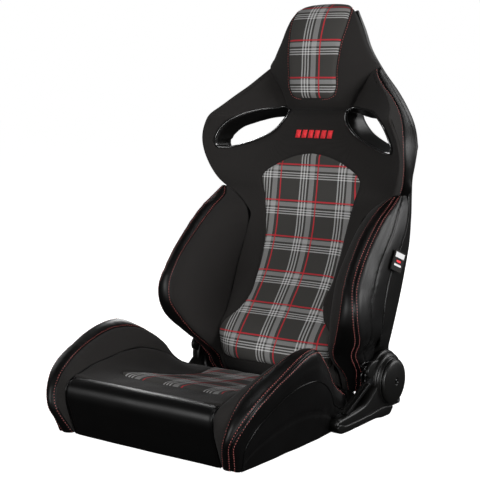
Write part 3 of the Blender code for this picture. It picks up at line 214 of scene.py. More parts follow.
def column(rows, key, index=1):
    """Smooth values of one column of a table at the given keys, held at the table's ends."""
    table = np.array([[row[0], row[index]] for row in rows], float)
    key = np.clip(np.asarray(key, float), table[0, 0], table[-1, 0])
    return spline(table[:, 1], table[:, 0], key.ravel()).reshape(key.shape)


def pair(rows, key, index):
    """As column, for a table whose cells are points."""
    table = np.array([row[index] for row in rows], float)
    keys = np.array([row[0] for row in rows], float)
    return spline(table, keys, np.clip(key, keys[0], keys[-1]))


def run_along(line):
    """Distance along a line at each of its points."""
    return np.concatenate([[0], np.cumsum(np.linalg.norm(np.diff(line, axis=0), axis=1))])


def at_run(where, run, values):
    """Values at places along a line, between the values at its points."""
    return np.stack([np.interp(where, run, values[:, k]) for k in range(values.shape[1])], axis=-1)


def unit(vectors):
    """The vectors at length 1."""
    return vectors / np.maximum(np.linalg.norm(vectors, axis=-1, keepdims=True), 1e-12)


def even(points, count, closed=False):
    """Points at even distances on a smooth curve through the given ones."""
    points = np.asarray(points, float)
    if closed:
        points = np.concatenate([points[-3:], points, points[:4]])
    knots = run_along(points)
    low, high = (knots[3], knots[-4]) if closed else (knots[0], knots[-1])
    fine = spline(points, knots, np.linspace(low, high, count * 6 + 1))
    run = run_along(fine)
    want = np.linspace(0, run[-1], count + 1)[:-1] if closed else np.linspace(0, run[-1], count)
    return at_run(want, run, fine)


def soften(grid, radius, axis):
    """The grid with its corners rounded along one axis; radius is in steps of the grid."""
    reach = int(math.ceil(radius * 3))
    kernel = np.exp(-0.5 * (np.arange(-reach, reach + 1) / radius) ** 2)
    kernel /= kernel.sum()
    moved = np.moveaxis(grid, axis, 0)
    first, last = moved[:1], moved[-1:]
    padded = np.concatenate([2 * first - moved[reach:0:-1], moved, 2 * last - moved[-2:-reach - 2:-1]])
    out = sum(kernel[k] * padded[k:k + len(moved)] for k in range(len(kernel)))
    return np.moveaxis(out, 0, axis)


def normals_of(grid, outward):
    """Unit normals of a grid of points; outward is a rough direction they should share."""
    across = unit(np.cross(np.gradient(grid, axis=0), np.gradient(grid, axis=1)))
    return -across if (across * np.asarray(outward)).sum() < 0 else across


def run_across(grid):
    """Distance along each row of the grid."""
    steps = np.linalg.norm(np.diff(grid, axis=1), axis=2)
    return np.concatenate([np.zeros((len(grid), 1)), np.cumsum(steps, axis=1)], axis=1)


def lay(grid, normal, run, distance, lift):
    """The line on the grid at the given distance along each row, lifted along the normal."""
    distance = np.broadcast_to(distance, (len(grid),))
    line = np.array([at_run(d, r, g) for d, r, g in zip(distance, run, grid)])
    up = unit(np.array([at_run(d, r, n) for d, r, n in zip(distance, run, normal)]))
    return line + up * lift, up


def seen_along_y(grid):
    """(out, up) of a grid's points, both sides folded onto the right one."""
    return np.stack([np.abs(grid[..., 0]), grid[..., 2]], axis=2)


def nearest_on(points, outline):
    """The nearest point of a closed outline for each 2-D point, and its distance, negative inside."""
    flat = points.reshape(-1, 2)
    best = np.full(len(flat), 1e9)
    near = np.zeros_like(flat)
    inside = np.zeros(len(flat), bool)
    for a, b in zip(outline, np.roll(outline, -1, axis=0)):
        edge = b - a
        t = np.clip(((flat - a) @ edge) / max(edge @ edge, 1e-18), 0, 1)
        at = a + t[:, None] * edge
        gap = np.linalg.norm(flat - a - t[:, None] * edge, axis=1)
        near = np.where((gap < best)[:, None], at, near)
        best = np.minimum(best, gap)
        crosses = (a[1] > flat[:, 1]) != (b[1] > flat[:, 1])
        crossing = a[0] + (flat[:, 1] - a[1]) * edge[0] / (edge[1] if abs(edge[1]) > 1e-15 else 1e-15)
        inside ^= crosses & (flat[:, 0] < crossing)
    return near.reshape(points.shape), np.where(inside, -best, best).reshape(points.shape[:-1])


def outline_distance(points, outline):
    """Distance of 2-D points to a closed outline, negative inside."""
    return nearest_on(points, outline)[1]


def outline_normals(outline):
    """Unit normals of a closed outline, pointing out of it."""
    way = unit(np.roll(outline, -1, axis=0) - np.roll(outline, 1, axis=0))
    out = np.stack([way[:, 1], -way[:, 0]], axis=1)
    return -out if ((outline - outline.mean(axis=0)) * out).sum() < 0 else out


def ripple(run, seed, pitch):
    """An uneven wave along a seam, from -1 to 1, for the puckers that thread pulls in."""
    rng = np.random.default_rng(seed)
    wave = np.zeros_like(run)
    for _ in range(5):
        wave += np.sin(2 * np.pi * run / (pitch * rng.uniform(0.6, 1.9)) + rng.uniform(0, 6.3))
    return wave / 3


def mirror(points, side):
    """The points on the given side, 1 right or -1 left."""
    out = np.array(points, float)
    out[..., 0] *= side
    return out


# ---- objects ----------------------------------------------------------------------------------
def add_mesh(name, verts, faces, materials, face_material=None, uv=None):
    """A new object from points and faces; uv is one pair for each point."""
    mesh = bpy.data.meshes.new(name)
    mesh.from_pydata([tuple(v) for v in np.asarray(verts, float).tolist()], [], faces)
    for material in materials:
        mesh.materials.append(material)
    if face_material is not None:
        mesh.polygons.foreach_set("material_index", np.asarray(face_material, np.int32))
    if uv is not None:
        layer = mesh.uv_layers.new(name="weave")
        loops = np.empty(len(mesh.loops), np.int32)
        mesh.loops.foreach_get("vertex_index", loops)
        layer.data.foreach_set("uv", np.asarray(uv, np.float32)[loops].ravel())
    mesh.shade_smooth()
    mesh.validate()
    item = bpy.data.objects.new(name, mesh)
    bpy.context.scene.collection.objects.link(item)
    return item


def round_faces(rows, columns, joined=False):
    """Quads round a stack of closed rows; joined also joins the last row to the first."""
    faces = []
    for i in range(rows if joined else rows - 1):
        low, high = i * columns, (i + 1) % rows * columns
        for j in range(columns):
            k = (j + 1) % columns
            faces.append((low + j, low + k, high + k, high + j))
    return faces


def end_faces(rows, columns):
    """The two flat ends of a stack of closed rows."""
    return [tuple(range(columns)), tuple(range((rows - 1) * columns, rows * columns))[::-1]]


def outward_faces(item):
    """Turns a closed mesh's faces outwards and drops points that no face uses."""
    work = bmesh.new()
    work.from_mesh(item.data)
    loose = [v for v in work.verts if not v.link_faces]
    bmesh.ops.delete(work, geom=loose, context="VERTS")
    bmesh.ops.recalc_face_normals(work, faces=work.faces)
    work.to_mesh(item.data)
    work.free()
    return item


def tube(name, line, radius, material, sides=8):
    """A round cord along a line, with capped ends."""
    line = np.asarray(line, float)
    way = unit(np.gradient(line, axis=0))
    lift = np.empty_like(line)
    up = np.cross(way[0], (0.0, 0.3, 1.0))
    if np.linalg.norm(up) < 1e-3:
        up = np.cross(way[0], (1.0, 0.0, 0.0))
    for i in range(len(line)):
        up = unit(up - way[i] * (up @ way[i]))
        lift[i] = up
    side = np.cross(way, lift)
    angle = (2 * np.pi * np.arange(sides) / sides)[None, :, None]
    ring = line[:, None] + radius * (np.cos(angle) * lift[:, None] + np.sin(angle) * side[:, None])
    return closed_loft(name, ring, [material])


def stitches(name, line, up, material, pitch=0.0064, length=0.0030, width=0.0014):
    """A row of thread stitches lying on a surface along a line."""
    run = run_along(line)
    sides = 6
    rings = ((-0.72, 0.8), (0.0, 1.0), (0.72, 0.8))
    verts, faces = [], []
    for middle in (np.arange(int(run[-1] / pitch)) + 0.5) * pitch:
        at = at_run(middle, run, line)
        way = unit(at_run(middle + pitch / 2, run, line) - at_run(middle - pitch / 2, run, line))
        lift = at_run(middle, run, up)
        lift = unit(lift - way * (lift @ way))
        side = np.cross(way, lift)
        first = len(verts)
        last = first + 1 + len(rings) * sides
        verts.append(at - way * length / 2 - lift * width * 0.25)
        for share, thick in rings:
            for k in range(sides):
                angle = 2 * math.pi * k / sides
                across = side * math.cos(angle) + lift * math.sin(angle) * 0.75
                verts.append(at + way * share * length / 2 + across * width / 2 * thick)
        verts.append(at + way * length / 2 - lift * width * 0.25)
        for k in range(sides):
            j = (k + 1) % sides
            faces.append((first, first + 1 + j, first + 1 + k))
            for a in (first + 1, first + 1 + sides):
                faces.append((a + k, a + j, a + sides + j, a + sides + k))
            faces.append((last, last - sides + k, last - sides + j))
    return outward_faces(add_mesh(name, np.array(verts), faces, [material]))


def finish(item, body, slot, *nodes, fill=None):
    """Ties a piece to its CAD body and hides the CAD nodes it stands for; slot, for its finish, and fill,
    for its stuffing, are not used.
    """
    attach(item, body)
    if nodes:
        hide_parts(*nodes)
    return item


def closed_pad(name, grid, normal, depth, materials, face_material=None, uv=None, keep=None):
    """A grid with a back side behind it and walls round every edge, as one closed mesh."""
    rows, columns = grid.shape[:2]
    keep = np.ones((rows - 1, columns - 1), bool) if keep is None else keep
    tags = np.zeros((rows - 1, columns - 1), int) if face_material is None else face_material
    total = rows * columns
    around = np.pad(keep, 1)
    faces, marks = [], []
    for i, j in np.argwhere(keep).tolist():
        a, d = i * columns + j, (i + 1) * columns + j
        b, c = a + 1, d + 1
        new = [(a, b, c, d), (d + total, c + total, b + total, a + total)]
        sides = ((a, b, around[i, j + 1]), (b, c, around[i + 1, j + 2]),
                 (c, d, around[i + 2, j + 1]), (d, a, around[i + 1, j]))
        new += [(q, p, p + total, q + total) for p, q, neighbour in sides if not neighbour]
        faces += new
        marks += [int(tags[i, j])] * len(new)
    verts = np.concatenate([grid.reshape(-1, 3), (grid - normal * depth).reshape(-1, 3)])
    uv = None if uv is None else np.tile(uv.reshape(-1, 2), (2, 1))
    return outward_faces(add_mesh(name, verts, faces, materials, marks, uv))


def closed_loft(name, grid, materials, face_material=None):
    """A solid through closed sections, one per row of the grid, with flat ends."""
    rows, columns = grid.shape[:2]
    faces = round_faces(rows, columns)
    marks = [0] * len(faces) if face_material is None else list(face_material.ravel())
    marks += [marks[0], marks[-1]]
    faces += end_faces(rows, columns)
    return outward_faces(add_mesh(name, grid.reshape(-1, 3), faces, materials, marks))


def ring_loft(name, grid, material):
    """A solid closed both ways, such as a rim."""
    faces = round_faces(*grid.shape[:2], joined=True)
    return outward_faces(add_mesh(name, grid.reshape(-1, 3), faces, [material]))


def across_rails(rails, counts):
    """A grid with the given number of steps between neighbouring rails, and each rail's column."""
    share = np.concatenate([k + np.arange(n) / n for k, n in enumerate(counts)] + [[len(counts)]])
    grid = np.empty((len(rails), len(share), 3))
    for i, row in enumerate(rails):
        knots = run_along(row)
        grid[i] = spline(row, knots, np.interp(share, np.arange(len(knots)), knots))
    return grid, np.concatenate([[0], np.cumsum(counts)])


def along_rails(rails, count):
    """More rows, at even distances, between the given rows of rails."""
    step = np.linalg.norm(np.diff(rails, axis=0), axis=2).mean(axis=1)
    knots = np.concatenate([[0], np.cumsum(step)])
    return spline(rails, knots, np.linspace(0, knots[-1], count))


def straight(a, b, count, last=False):
    """Points between two rails, without the first rail, and with or without the last."""
    share = (np.arange(1, count) / count)[None, :, None]
    between = a[:, None] * (1 - share) + b[:, None] * share
    return np.concatenate([between, b[:, None]], axis=1) if last else between


def both_sides(half):
    """A grid from its right half, whose first column is on the middle line."""
    return np.concatenate([mirror(half[:, :0:-1], -1), half], axis=1)


def uneven(points, seed, scale, height):
    """A smooth random height for each point, like foam that is never quite even."""
    rng = np.random.default_rng(seed)
    value = np.zeros(points.shape[:-1])
    for _ in range(12):
        way = rng.normal(size=3)
        way *= 2 * np.pi / (scale * rng.uniform(0.6, 1.8)) / np.linalg.norm(way)
        value += np.sin(points @ way + rng.uniform(0, 6.3))
    return value * height / 3.5


def upholster(grid, outward, seams, crowns, seed):
    """Draws the seams in, puckers the cover beside them and crowns the panels between them."""
    groove, width, pucker = 0.0022, 0.0024, 0.0006
    normal = normals_of(grid, outward)
    run = run_across(grid)
    lift = uneven(grid, seed, 0.09, 0.0006)
    for number, mark in enumerate(seams):
        away = np.abs(run - run[:, [mark]])
        wave = ripple(run_along(grid[:, mark]), seed + number, 0.024)[:, None]
        lift -= groove * np.exp(-(away / width) ** 2)
        lift += pucker * wave * np.exp(-away / 0.009) * np.clip(away / 0.003, 0, 1)
    for first, last, height in crowns:
        share = (run - run[:, [first]]) / np.maximum(run[:, [last]] - run[:, [first]], 1e-9)
        inside = (share > 0) & (share < 1)
        lift += np.where(inside, height * np.sin(np.pi * np.clip(share, 0, 1)) ** 0.8, 0)
    return grid + normal * lift[:, :, None], normal, run


def insert_well(beside, depth, facing=True):
    """How far a cushion's cover drops for an insert: a groove round it, and a flat well under it."""
    drop = INSERT_GROOVE * np.exp(-(beside / INSERT_GROOVE_WIDTH) ** 2)
    drop += np.where(beside < -INSERT_GROOVE_WIDTH, depth, 0)
    return np.where(facing, drop, 0)


# ---- materials --------------------------------------------------------------------------------
class Nodes:
    """Short names for building a node tree."""

    def __init__(self, name):
        self.material = bpy.data.materials.new(name)
        self.material.use_nodes = True
        self.tree = self.material.node_tree
        self.shader = self.tree.nodes["Principled BSDF"]

    def add(self, kind, inputs=(), **values):
        """A new node with its properties, and its inputs as feed takes them."""
        node = self.tree.nodes.new(kind)
        for key, value in values.items():
            setattr(node, key, value)
        self.feed(node, **dict(inputs))
        return node

    def feed(self, node, **inputs):
        """Gives a node's inputs their values, or links them to other nodes' outputs."""
        for key, value in inputs.items():
            socket = node.inputs[key.replace("_", " ")]
            if isinstance(value, bpy.types.NodeSocket):
                self.tree.links.new(value, socket)
            else:
                socket.default_value = value

    def math(self, operation, a, b=None):
        """The result of a sum on values or other nodes' outputs."""
        node = self.add("ShaderNodeMath", operation=operation)
        for socket, value in zip(node.inputs, (a, b)):
            if isinstance(value, bpy.types.NodeSocket):
                self.tree.links.new(value, socket)
            elif value is not None:
                socket.default_value = value
        return node.outputs[0]

    def relief(self, height, strength, distance):
        """Bump on the surface from a height."""
        bump = self.add("ShaderNodeBump", dict(Strength=strength, Distance=distance, Height=height))
        self.feed(self.shader, Normal=bump.outputs["Normal"])


def plain(name, colour, roughness, metallic=0.0, specular=0.5, coat=0.0):
    """A smooth material of one colour."""
    nodes = Nodes(name)
    nodes.feed(nodes.shader, Base_Color=(*colour, 1), Roughness=roughness, Metallic=metallic,
               Specular_IOR_Level=specular, Coat_Weight=coat, Coat_Roughness=0.08)
    return nodes.material


def grained(name, colour, roughness, cell, depth, specular=0.4, metallic=0.0):
    """Pebbled leather, moulded plastic or powder coat, by the size of the grain."""
    nodes = Nodes(name)
    place = nodes.add("ShaderNodeTexCoord").outputs["Object"]
    pebble = nodes.add("ShaderNodeTexVoronoi", dict(Scale=1 / cell, Vector=place), feature="SMOOTH_F1")
    noise = nodes.add("ShaderNodeTexNoise", dict(Scale=14, Detail=4, Vector=place))
    shade = nodes.add("ShaderNodeMapRange", dict(
        To_Min=roughness - 0.05, To_Max=roughness + 0.07, Value=noise.outputs["Fac"]))
    nodes.feed(nodes.shader, Base_Color=(*colour, 1), Metallic=metallic, Specular_IOR_Level=specular,
               Roughness=shade.outputs["Result"])
    nodes.relief(pebble.outputs["Distance"], 0.5, depth)
    return nodes.material


def woven_relief(nodes):
    """The fine relief of a woven cloth; returns its height."""
    place = nodes.add("ShaderNodeTexCoord").outputs["Object"]
    weave = nodes.add("ShaderNodeTexVoronoi", dict(Scale=900, Randomness=0.35, Vector=place),
                      feature="F1", distance="CHEBYCHEV")
    nodes.relief(weave.outputs["Distance"], 0.5, 0.0004)
    return weave.outputs["Distance"]


def cloth_material(name, colour):
    """Plain woven cloth, darker between its threads."""
    nodes = Nodes(name)
    ramp = nodes.add("ShaderNodeMapRange", dict(
        From_Max=0.6, To_Min=1.25, To_Max=0.75, Value=woven_relief(nodes)))
    tint = nodes.add("ShaderNodeVectorMath", operation="SCALE")
    tint.inputs[0].default_value = colour
    nodes.feed(tint, Scale=ramp.outputs["Result"])
    nodes.feed(nodes.shader, Base_Color=tint.outputs["Vector"], Roughness=0.95,
               Specular_IOR_Level=0.15, Sheen_Weight=0.04, Sheen_Roughness=0.5)
    return nodes.material


def stripes(nodes, coordinate, period, start, bands):
    """The strength of a plaid's bands in one direction; a band is its low end, high end, strength."""
    shifted = nodes.math("SUBTRACT", coordinate, start)
    share = nodes.math("FRACT", nodes.math("DIVIDE", shifted, period))
    total = 0.0
    for low, high, strength in bands:
        above = nodes.math("GREATER_THAN", share, low / period)
        below = nodes.math("LESS_THAN", share, high / period)
        band = nodes.math("MULTIPLY", nodes.math("MULTIPLY", above, below), strength)
        total = nodes.math("ADD", band, total)
    return total


def plaid_material(name):
    """Red and grey lines over charcoal, both ways, mixing lighter where they cross."""
    thin, band = 0.20, 0.105
    nodes = Nodes(name)
    weave = nodes.add("ShaderNodeUVMap", uv_map="weave").outputs["UV"]
    split = nodes.add("ShaderNodeSeparateXYZ", dict(Vector=weave))
    u, v = split.outputs[0], split.outputs[1]
    across = (u, PLAID_PERIOD_X, PLAID_START_X)
    upward = (v, PLAID_PERIOD_Z, 0.0)
    grey_x = stripes(nodes, *across, (
        (0.000, 0.0036, thin), (0.0084, 0.0122, thin), (0.0168, 0.0206, thin), (0.0265, 0.0410, band)))
    grey_z = stripes(nodes, *upward, (
        (0.0070, 0.0175, band), (0.0225, 0.0252, thin), (0.0285, 0.0312, thin), (0.0345, 0.0372, thin)))
    red_x = stripes(nodes, *across, ((0.0488, 0.0524, 0.8),))
    red_z = stripes(nodes, *upward, ((0.0003, 0.0040, 0.8),))
    grey = nodes.math("MULTIPLY", nodes.math("ADD", grey_x, grey_z), 1.55)
    red = nodes.math("MINIMUM", nodes.math("ADD", red_x, red_z), 1.0)
    twill = nodes.math("FRACT", nodes.math("MULTIPLY", nodes.math("ADD", u, v), 1 / 0.0022))
    dim = nodes.math("ADD", nodes.math("MULTIPLY", nodes.math("GREATER_THAN", twill, 0.5), 0.22), 0.84)
    lines = nodes.math("MULTIPLY", grey, dim)
    base = nodes.add("ShaderNodeCombineColor")
    for socket, charcoal in zip(base.inputs, (0.050, 0.048, 0.045)):
        nodes.tree.links.new(nodes.math("ADD", lines, charcoal), socket)
    mix = nodes.add("ShaderNodeMix", dict(Factor=red, A=base.outputs[0], B=(0.52, 0.030, 0.042, 1)),
                    data_type="RGBA")
    nodes.feed(nodes.shader, Base_Color=mix.outputs["Result"], Roughness=0.95,
               Specular_IOR_Level=0.12, Sheen_Weight=0.03, Sheen_Roughness=0.5)
    woven_relief(nodes)
    return nodes.material


LEATHER = grained("leather", (0.0016, 0.0015, 0.0015), 0.40, 0.0014, 0.00007, specular=0.22)
FABRIC = cloth_material("cloth", (0.0200, 0.0184, 0.0176))
PLAID = plaid_material("plaid")
PIPING = plain("piping", (0.003, 0.003, 0.003), 0.24, specular=0.2)
THREAD = plain("thread", (0.52, 0.150, 0.140), 0.7, specular=0.2)
MOULDED = grained("moulded", (0.0040, 0.0039, 0.0037), 0.34, 0.0011, 0.00006, specular=0.22)
GLOSS = plain("gloss", (0.003, 0.003, 0.003), 0.16, specular=0.3)
RIM = plain("gloss_rim", (0.010, 0.010, 0.010), 0.24, specular=1.0, coat=1.0)
STEEL = grained("black_steel", (0.008, 0.008, 0.0085), 0.42, 0.0010, 0.0001, specular=0.25, metallic=0.3)
WIRE = plain("spring_steel", (0.30, 0.30, 0.31), 0.32, metallic=1.0)
ZINC = plain("zinc", (0.50, 0.50, 0.51), 0.34, metallic=1.0)
RED = plain("red_thread_patch", (0.90, 0.045, 0.055), 0.6, specular=0.2)
PALE = plain("pale_thread_patch", (0.70, 0.70, 0.70), 0.7)


def sew(name, body, skin, distance, lift):
    """A row of stitches on a skin, which is a grid with its normals and its distances."""
    line, up = lay(*skin, distance, lift)
    finish(stitches(name, line, up, THREAD), body, "black_leather")


def pipe(name, body, skin, distance, lift, radius):
    """A piping cord on a skin."""
    line = lay(*skin, distance, lift)[0]
    finish(tube(name, line, radius, PIPING), body, "black_leather")


# ---- surfaces ---------------------------------------------------------------------------------
def cushion_top(x, y):
    """Height of the seat cushion's top, which climbs to the thigh bolsters."""
    middle = column(CUSHION_TOP, y)
    walls = [(row[1][0], row[1][1]) for row in THIGH[5:]]
    rise = column(walls, y) - middle
    across = np.clip((np.abs(x) - 0.100) / (WALL_X - 0.100), 0, None)
    return middle + rise * across**2


def back_front(x, z):
    """Distance back of the backrest's front, which curves out to its edge."""
    middle = column(BACK_MIDDLE, z)
    edge = pair(WING, np.ravel(z), 1).reshape(np.shape(z) + (2,))
    across = np.clip((np.abs(x) - 0.070) / (edge[..., 0] - 0.070), 0, 1.05)
    return middle + (edge[..., 1] - middle) * across**2.2


def shell_back(x, z):
    """Distance back of the rear shell."""
    corner, corner_y, middle_y = (column(SHELL, z, k) for k in (1, 2, 3))
    return middle_y + (corner_y - middle_y) * np.clip(np.abs(x) / corner, 0, 1) ** 2.4


def slot_front():
    """The slot's outline on the front of the backrest."""
    return even(SLOT, 130, closed=True)


def slot_at(flare, outer, drop):
    """The slot's outline further back: wider all round, wider at its outer end, lower at its top."""
    outline = slot_front()
    out = outline_normals(outline)
    toward_outer = np.clip((outline[:, 0] - 0.19) / 0.05, 0, 1) * np.clip(out[:, 0], 0, 1)
    shift = flare + outer * toward_outer - drop * np.clip(out[:, 1], 0, 1)
    return outline + out * shift[:, None]


def rear_slot():
    """The slot where it leaves the shell."""
    return slot_at(0.0015, 0.018, 0.002)


def snap_to_outline(grid, outline, grow, allowed, reach=0.0022):
    """Moves grid points that lie near a hole's edge onto that edge, seen along Y."""
    flat = seen_along_y(grid)
    near, gap = nearest_on(flat, outline)
    away = unit((flat - near) * np.where(gap < 0, -1, 1)[..., None])
    moved = near + away * grow
    pick = (np.abs(gap - grow) < reach) & (np.abs(gap) > 1e-5) & allowed
    grid[..., 0] = np.where(pick, moved[..., 0] * np.sign(grid[..., 0]), grid[..., 0])
    grid[..., 2] = np.where(pick, moved[..., 1], grid[..., 2])


def outside_outline(grid, outline, grow, allowed):
    """Which cells of the grid stay when the hole is cut out."""
    centre = (grid[:-1, :-1] + grid[1:, 1:] + grid[1:, :-1] + grid[:-1, 1:]) / 4
    inside = outline_distance(seen_along_y(centre), outline) < grow
    return ~(inside & np.broadcast_to(allowed, grid.shape[:2])[:-1, :-1])


# ---- side bolsters ----------------------------------------------------------------------------
def trim_bolster(name, body, skin, marks):
    """Piping between two rows of stitches on the crest, stitches inside it, piping on the side."""
    run = skin[2]
    double = run[:, marks[3]]
    pipe(f"{name}_piping", body, skin, double, 0.0006, 0.0021)
    for number, shift in enumerate((-DOUBLE_SEAM_SPREAD, DOUBLE_SEAM_SPREAD), start=1):
        sew(f"{name}_stitches_{number}", body, skin, double + shift, 0.0003)
    sew(f"{name}_inner_stitches", body, skin, run[:, marks[1]] + STITCH_OFFSET, 0.0002)
    pipe(f"{name}_side_piping", body, skin, run[:, marks[5]], 0.0004, 0.0014)


def build_bolsters(word, pad, body, rails, floor, counts, seed):
    """Both bolsters of a cushion: the first and last open rail are joined by the floor rails."""
    skin, marks = across_rails(rails, counts)
    inner, double, low = marks[1], marks[3], marks[-2]
    crowns = ((0, inner, 0.002), (inner, double, 0.0015), (double, low, 0.002))
    outward = skin - skin.mean(axis=1, keepdims=True)
    skin, normal, run = upholster(skin, outward, (inner, double, low), crowns, seed)
    closing = [skin[:, -1]] + floor + [skin[:, 0]]
    parts = [skin] + [straight(a, b, 5, last=b is not closing[-1]) for a, b in zip(closing, closing[1:])]
    section = np.concatenate(parts, axis=1)
    tags = np.ones((len(section) - 1, section.shape[1]), int)
    tags[:, :inner] = 0
    for side, hand in SIDES:
        item = closed_loft(f"{pad}_{hand}", mirror(section, side), [FABRIC, LEATHER], tags)
        finish(item, body, "black_leather", f"{word}_bolster_{hand}", fill=0.85)
        sided = (mirror(skin, side), mirror(normal, side), run)
        trim_bolster(f"{pad.replace('_pad', '')}_{hand}", body, sided, marks)


def thigh_rails():
    """The rails of the right thigh bolster, from its inner wall over the crest to its foot."""
    rows = []
    for base_y, wall, seam_in, seam_out, flank in THIGH:
        seam_in, seam_out, flank = (np.array(p) for p in (seam_in, seam_out, flank))
        crest = (seam_in + seam_out) / 2
        way = np.array([0.0, crest[1] - base_y, max(0.0, crest[2] - 0.040)])
        way /= np.linalg.norm(way)
        crest += 0.005 * min(1.0, max(0.0, (-0.080 - base_y) / 0.040)) * way
        shoulder = (seam_out + flank) / 2 + np.array([0.0035, 0.0, 0.0])
        foot = np.interp(base_y, *zip(*THIGH_FOOT))
        lower = (flank + np.array([foot, base_y, 0.001])) / 2 + np.array([0.0015, 0.0, 0.0])
        rows.append([(WALL_X, *wall), seam_in, crest, seam_out, shoulder, flank, lower,
                     (foot, base_y, 0.001)])
    return np.array([[np.asarray(p, float) for p in row] for row in rows])


def build_thighs():
    """The two thigh bolsters, hollow below for the base rails."""
    back = np.array([row[0] for row in THIGH])
    hollow_top = np.where(back > -0.33, RAIL_CLEAR_Z, 0.003)
    foot = np.full(len(back), 0.001)
    hollow = [
        np.column_stack([np.full(len(back), x), back, z])
        for x, z in ((RAIL_CLEAR_X, foot), (RAIL_CLEAR_X, hollow_top), (WALL_X, hollow_top))
    ]
    rails = along_rails(np.concatenate([thigh_rails(), np.stack(hollow, axis=1)], axis=1), 170)
    floor = [rails[:, 8], rails[:, 9], rails[:, 10]]
    build_bolsters("thigh", "thigh_pad", "seat_base", rails[:, :8], floor, (16, 8, 8, 10, 10, 10, 10), 11)


def build_back_bolsters():
    """The two side bolsters of the backrest."""
    rows = []
    for z, wall, seam_in, seam_out, flank, rear in BACK_SIDE:
        middle = ((seam_in[0] + seam_out[0]) / 2, (seam_in[1] + seam_out[1]) / 2 - 0.004)
        shoulder = ((seam_out[0] + flank[0]) / 2 + 0.002, (seam_out[1] + flank[1]) / 2)
        behind = (wall[0], column(BOLSTER_REAR, np.array([z]))[0])
        rows.append([(x, y, z) for x, y in (wall, seam_in, middle, seam_out, shoulder, flank, rear, behind)])
    rails = along_rails(np.array(rows), 150)
    build_bolsters("back", "back_bolster_pad", "backrest", rails[:, :7], [rails[:, 7]],
                   (18, 7, 7, 9, 9, 12), 23)


# ---- seat cushion -----------------------------------------------------------------------------
def build_seat():
    """The cloth cushion between the thigh bolsters, with its plaid insert."""
    y = np.linspace(-0.347, 0.072, 120)
    x = np.linspace(-WALL_X + 0.0006, WALL_X - 0.0006, 111)
    xx, yy = np.meshgrid(x, y)
    zz = cushion_top(xx, yy)
    away = WALL_X - np.abs(xx)
    zz -= 0.0015 * np.exp(-(away / 0.004) ** 2)
    zz -= 0.0015 * np.exp(-((yy + 0.347) / 0.005) ** 2)
    beside = outline_distance(np.stack([xx, yy], axis=2), insert_outline(SEAT_INSERT))
    zz -= insert_well(beside, 0.003)
    zz += uneven(np.stack([xx, yy, zz], axis=2), 5, 0.08, 0.0008)
    grid = np.stack([xx, yy, zz], axis=2)
    upright = np.broadcast_to((0.0, 0.0, 1.0), grid.shape)
    item = closed_pad("seat_pad", grid, upright, 0.022, [FABRIC])
    finish(item, "seat_base", "woven_fabric", "seat_cushion", fill=0.8)
    insert_pad("seat_insert_pad", SEAT_INSERT, lambda a, b: np.stack([a, b, cushion_top(a, b)], axis=-1),
               (0, 0, 1), 120, 0.0, "seat_base", "seat_insert")


def build_roll():
    """The leather roll along the cushion's front."""
    profile = [
        (-0.3500, 0.002), (-0.3590, 0.026), (-0.3670, 0.052), (-0.3745, 0.076), (-0.3795, 0.096),
        (-0.3790, 0.108), (-0.3750, 0.1180), (-0.3670, 0.1255), (-0.3560, 0.1290), (-0.3430, 0.1285),
    ]
    end_x, rear_y = 0.2034, -0.334
    front = even(profile, 56)
    x = np.concatenate([np.linspace(-end_x, -0.185, 14), np.linspace(-0.182, 0.182, 70),
                        np.linspace(0.185, end_x, 14)])
    grid = np.empty((len(x), len(front), 3))
    grid[..., 0] = x[:, None]
    grid[..., 1:] = front[None]
    end = end_x - np.abs(x)
    normal = normals_of(grid, (0, -1, 0.5))
    lift = -0.004 * np.exp(-(end / 0.005) ** 2)[:, None] + uneven(grid, 31, 0.14, 0.0004)
    lift += 0.0012 * (1 - (x / end_x) ** 2)[:, None]
    grid = grid + normal * lift[:, :, None]
    low, high = grid[:, 0], grid[:, -1]
    rear_low, rear_high = low.copy(), high.copy()
    rear_low[:, 1] = rear_y
    rear_high[:, 1:] = (rear_y, 0.118)
    parts = [grid, straight(high, rear_high, 3, last=True), straight(rear_high, rear_low, 6, last=True),
             straight(rear_low, low, 3)]
    item = closed_loft("front_roll_pad", np.concatenate(parts, axis=1), [LEATHER])
    finish(item, "seat_base", "black_leather", "seat_front_roll", fill=0.9)
    for side, word in SIDES:
        row = int(np.argmin(np.abs(x - side * 0.2000)))
        line = grid[row] + normal[row] * 0.0012
        finish(tube(f"front_roll_piping_{word}", line, 0.0018, PIPING), "seat_base", "black_leather")


# ---- inserts ----------------------------------------------------------------------------------
def insert_outline(rows):
    """The closed outline of an insert, from its half widths."""
    right = even(rows, 90)[:, ::-1]
    return np.concatenate([right, (right * (-1, 1))[::-1]])


def puff(beside, rise):
    """Height of a plaid pad over its groove, by the distance from its edge."""
    beside = np.clip(beside, 0, None)
    lift = INSERT_GROOVE * (1 - np.exp(-(beside / 0.0045) ** 1.6)) - 0.0010
    return lift + rise * (1 - np.exp(-beside / 0.030))


def insert_pad(name, rows, surface, outward, steps, start, body, node):
    """A plaid pad let into its cushion; its edges roll down into the groove round it."""
    shape = even(rows, steps)
    share = np.sin(np.linspace(-np.pi / 2, np.pi / 2, 65))
    a = shape[:, [1]] * share[None]
    b = np.repeat(shape[:, [0]], len(share), axis=1)
    grid = surface(a, b)
    normal = normals_of(grid, outward)
    lift = puff(-outline_distance(np.stack([a, b], axis=2), insert_outline(rows)), 0.0022)
    lift += uneven(grid, 7, 0.07, 0.0005)
    run = run_along(grid[:, len(share) // 2])
    at = np.interp(start, shape[:, 0], run)
    uv = np.stack([a, np.repeat((at - run)[:, None], len(share), axis=1)], axis=2)
    item = closed_pad(name, grid + normal * lift[..., None], normal, 0.007, [PLAID], uv=uv)
    finish(item, body, "plaid_fabric", node, fill=0.8)


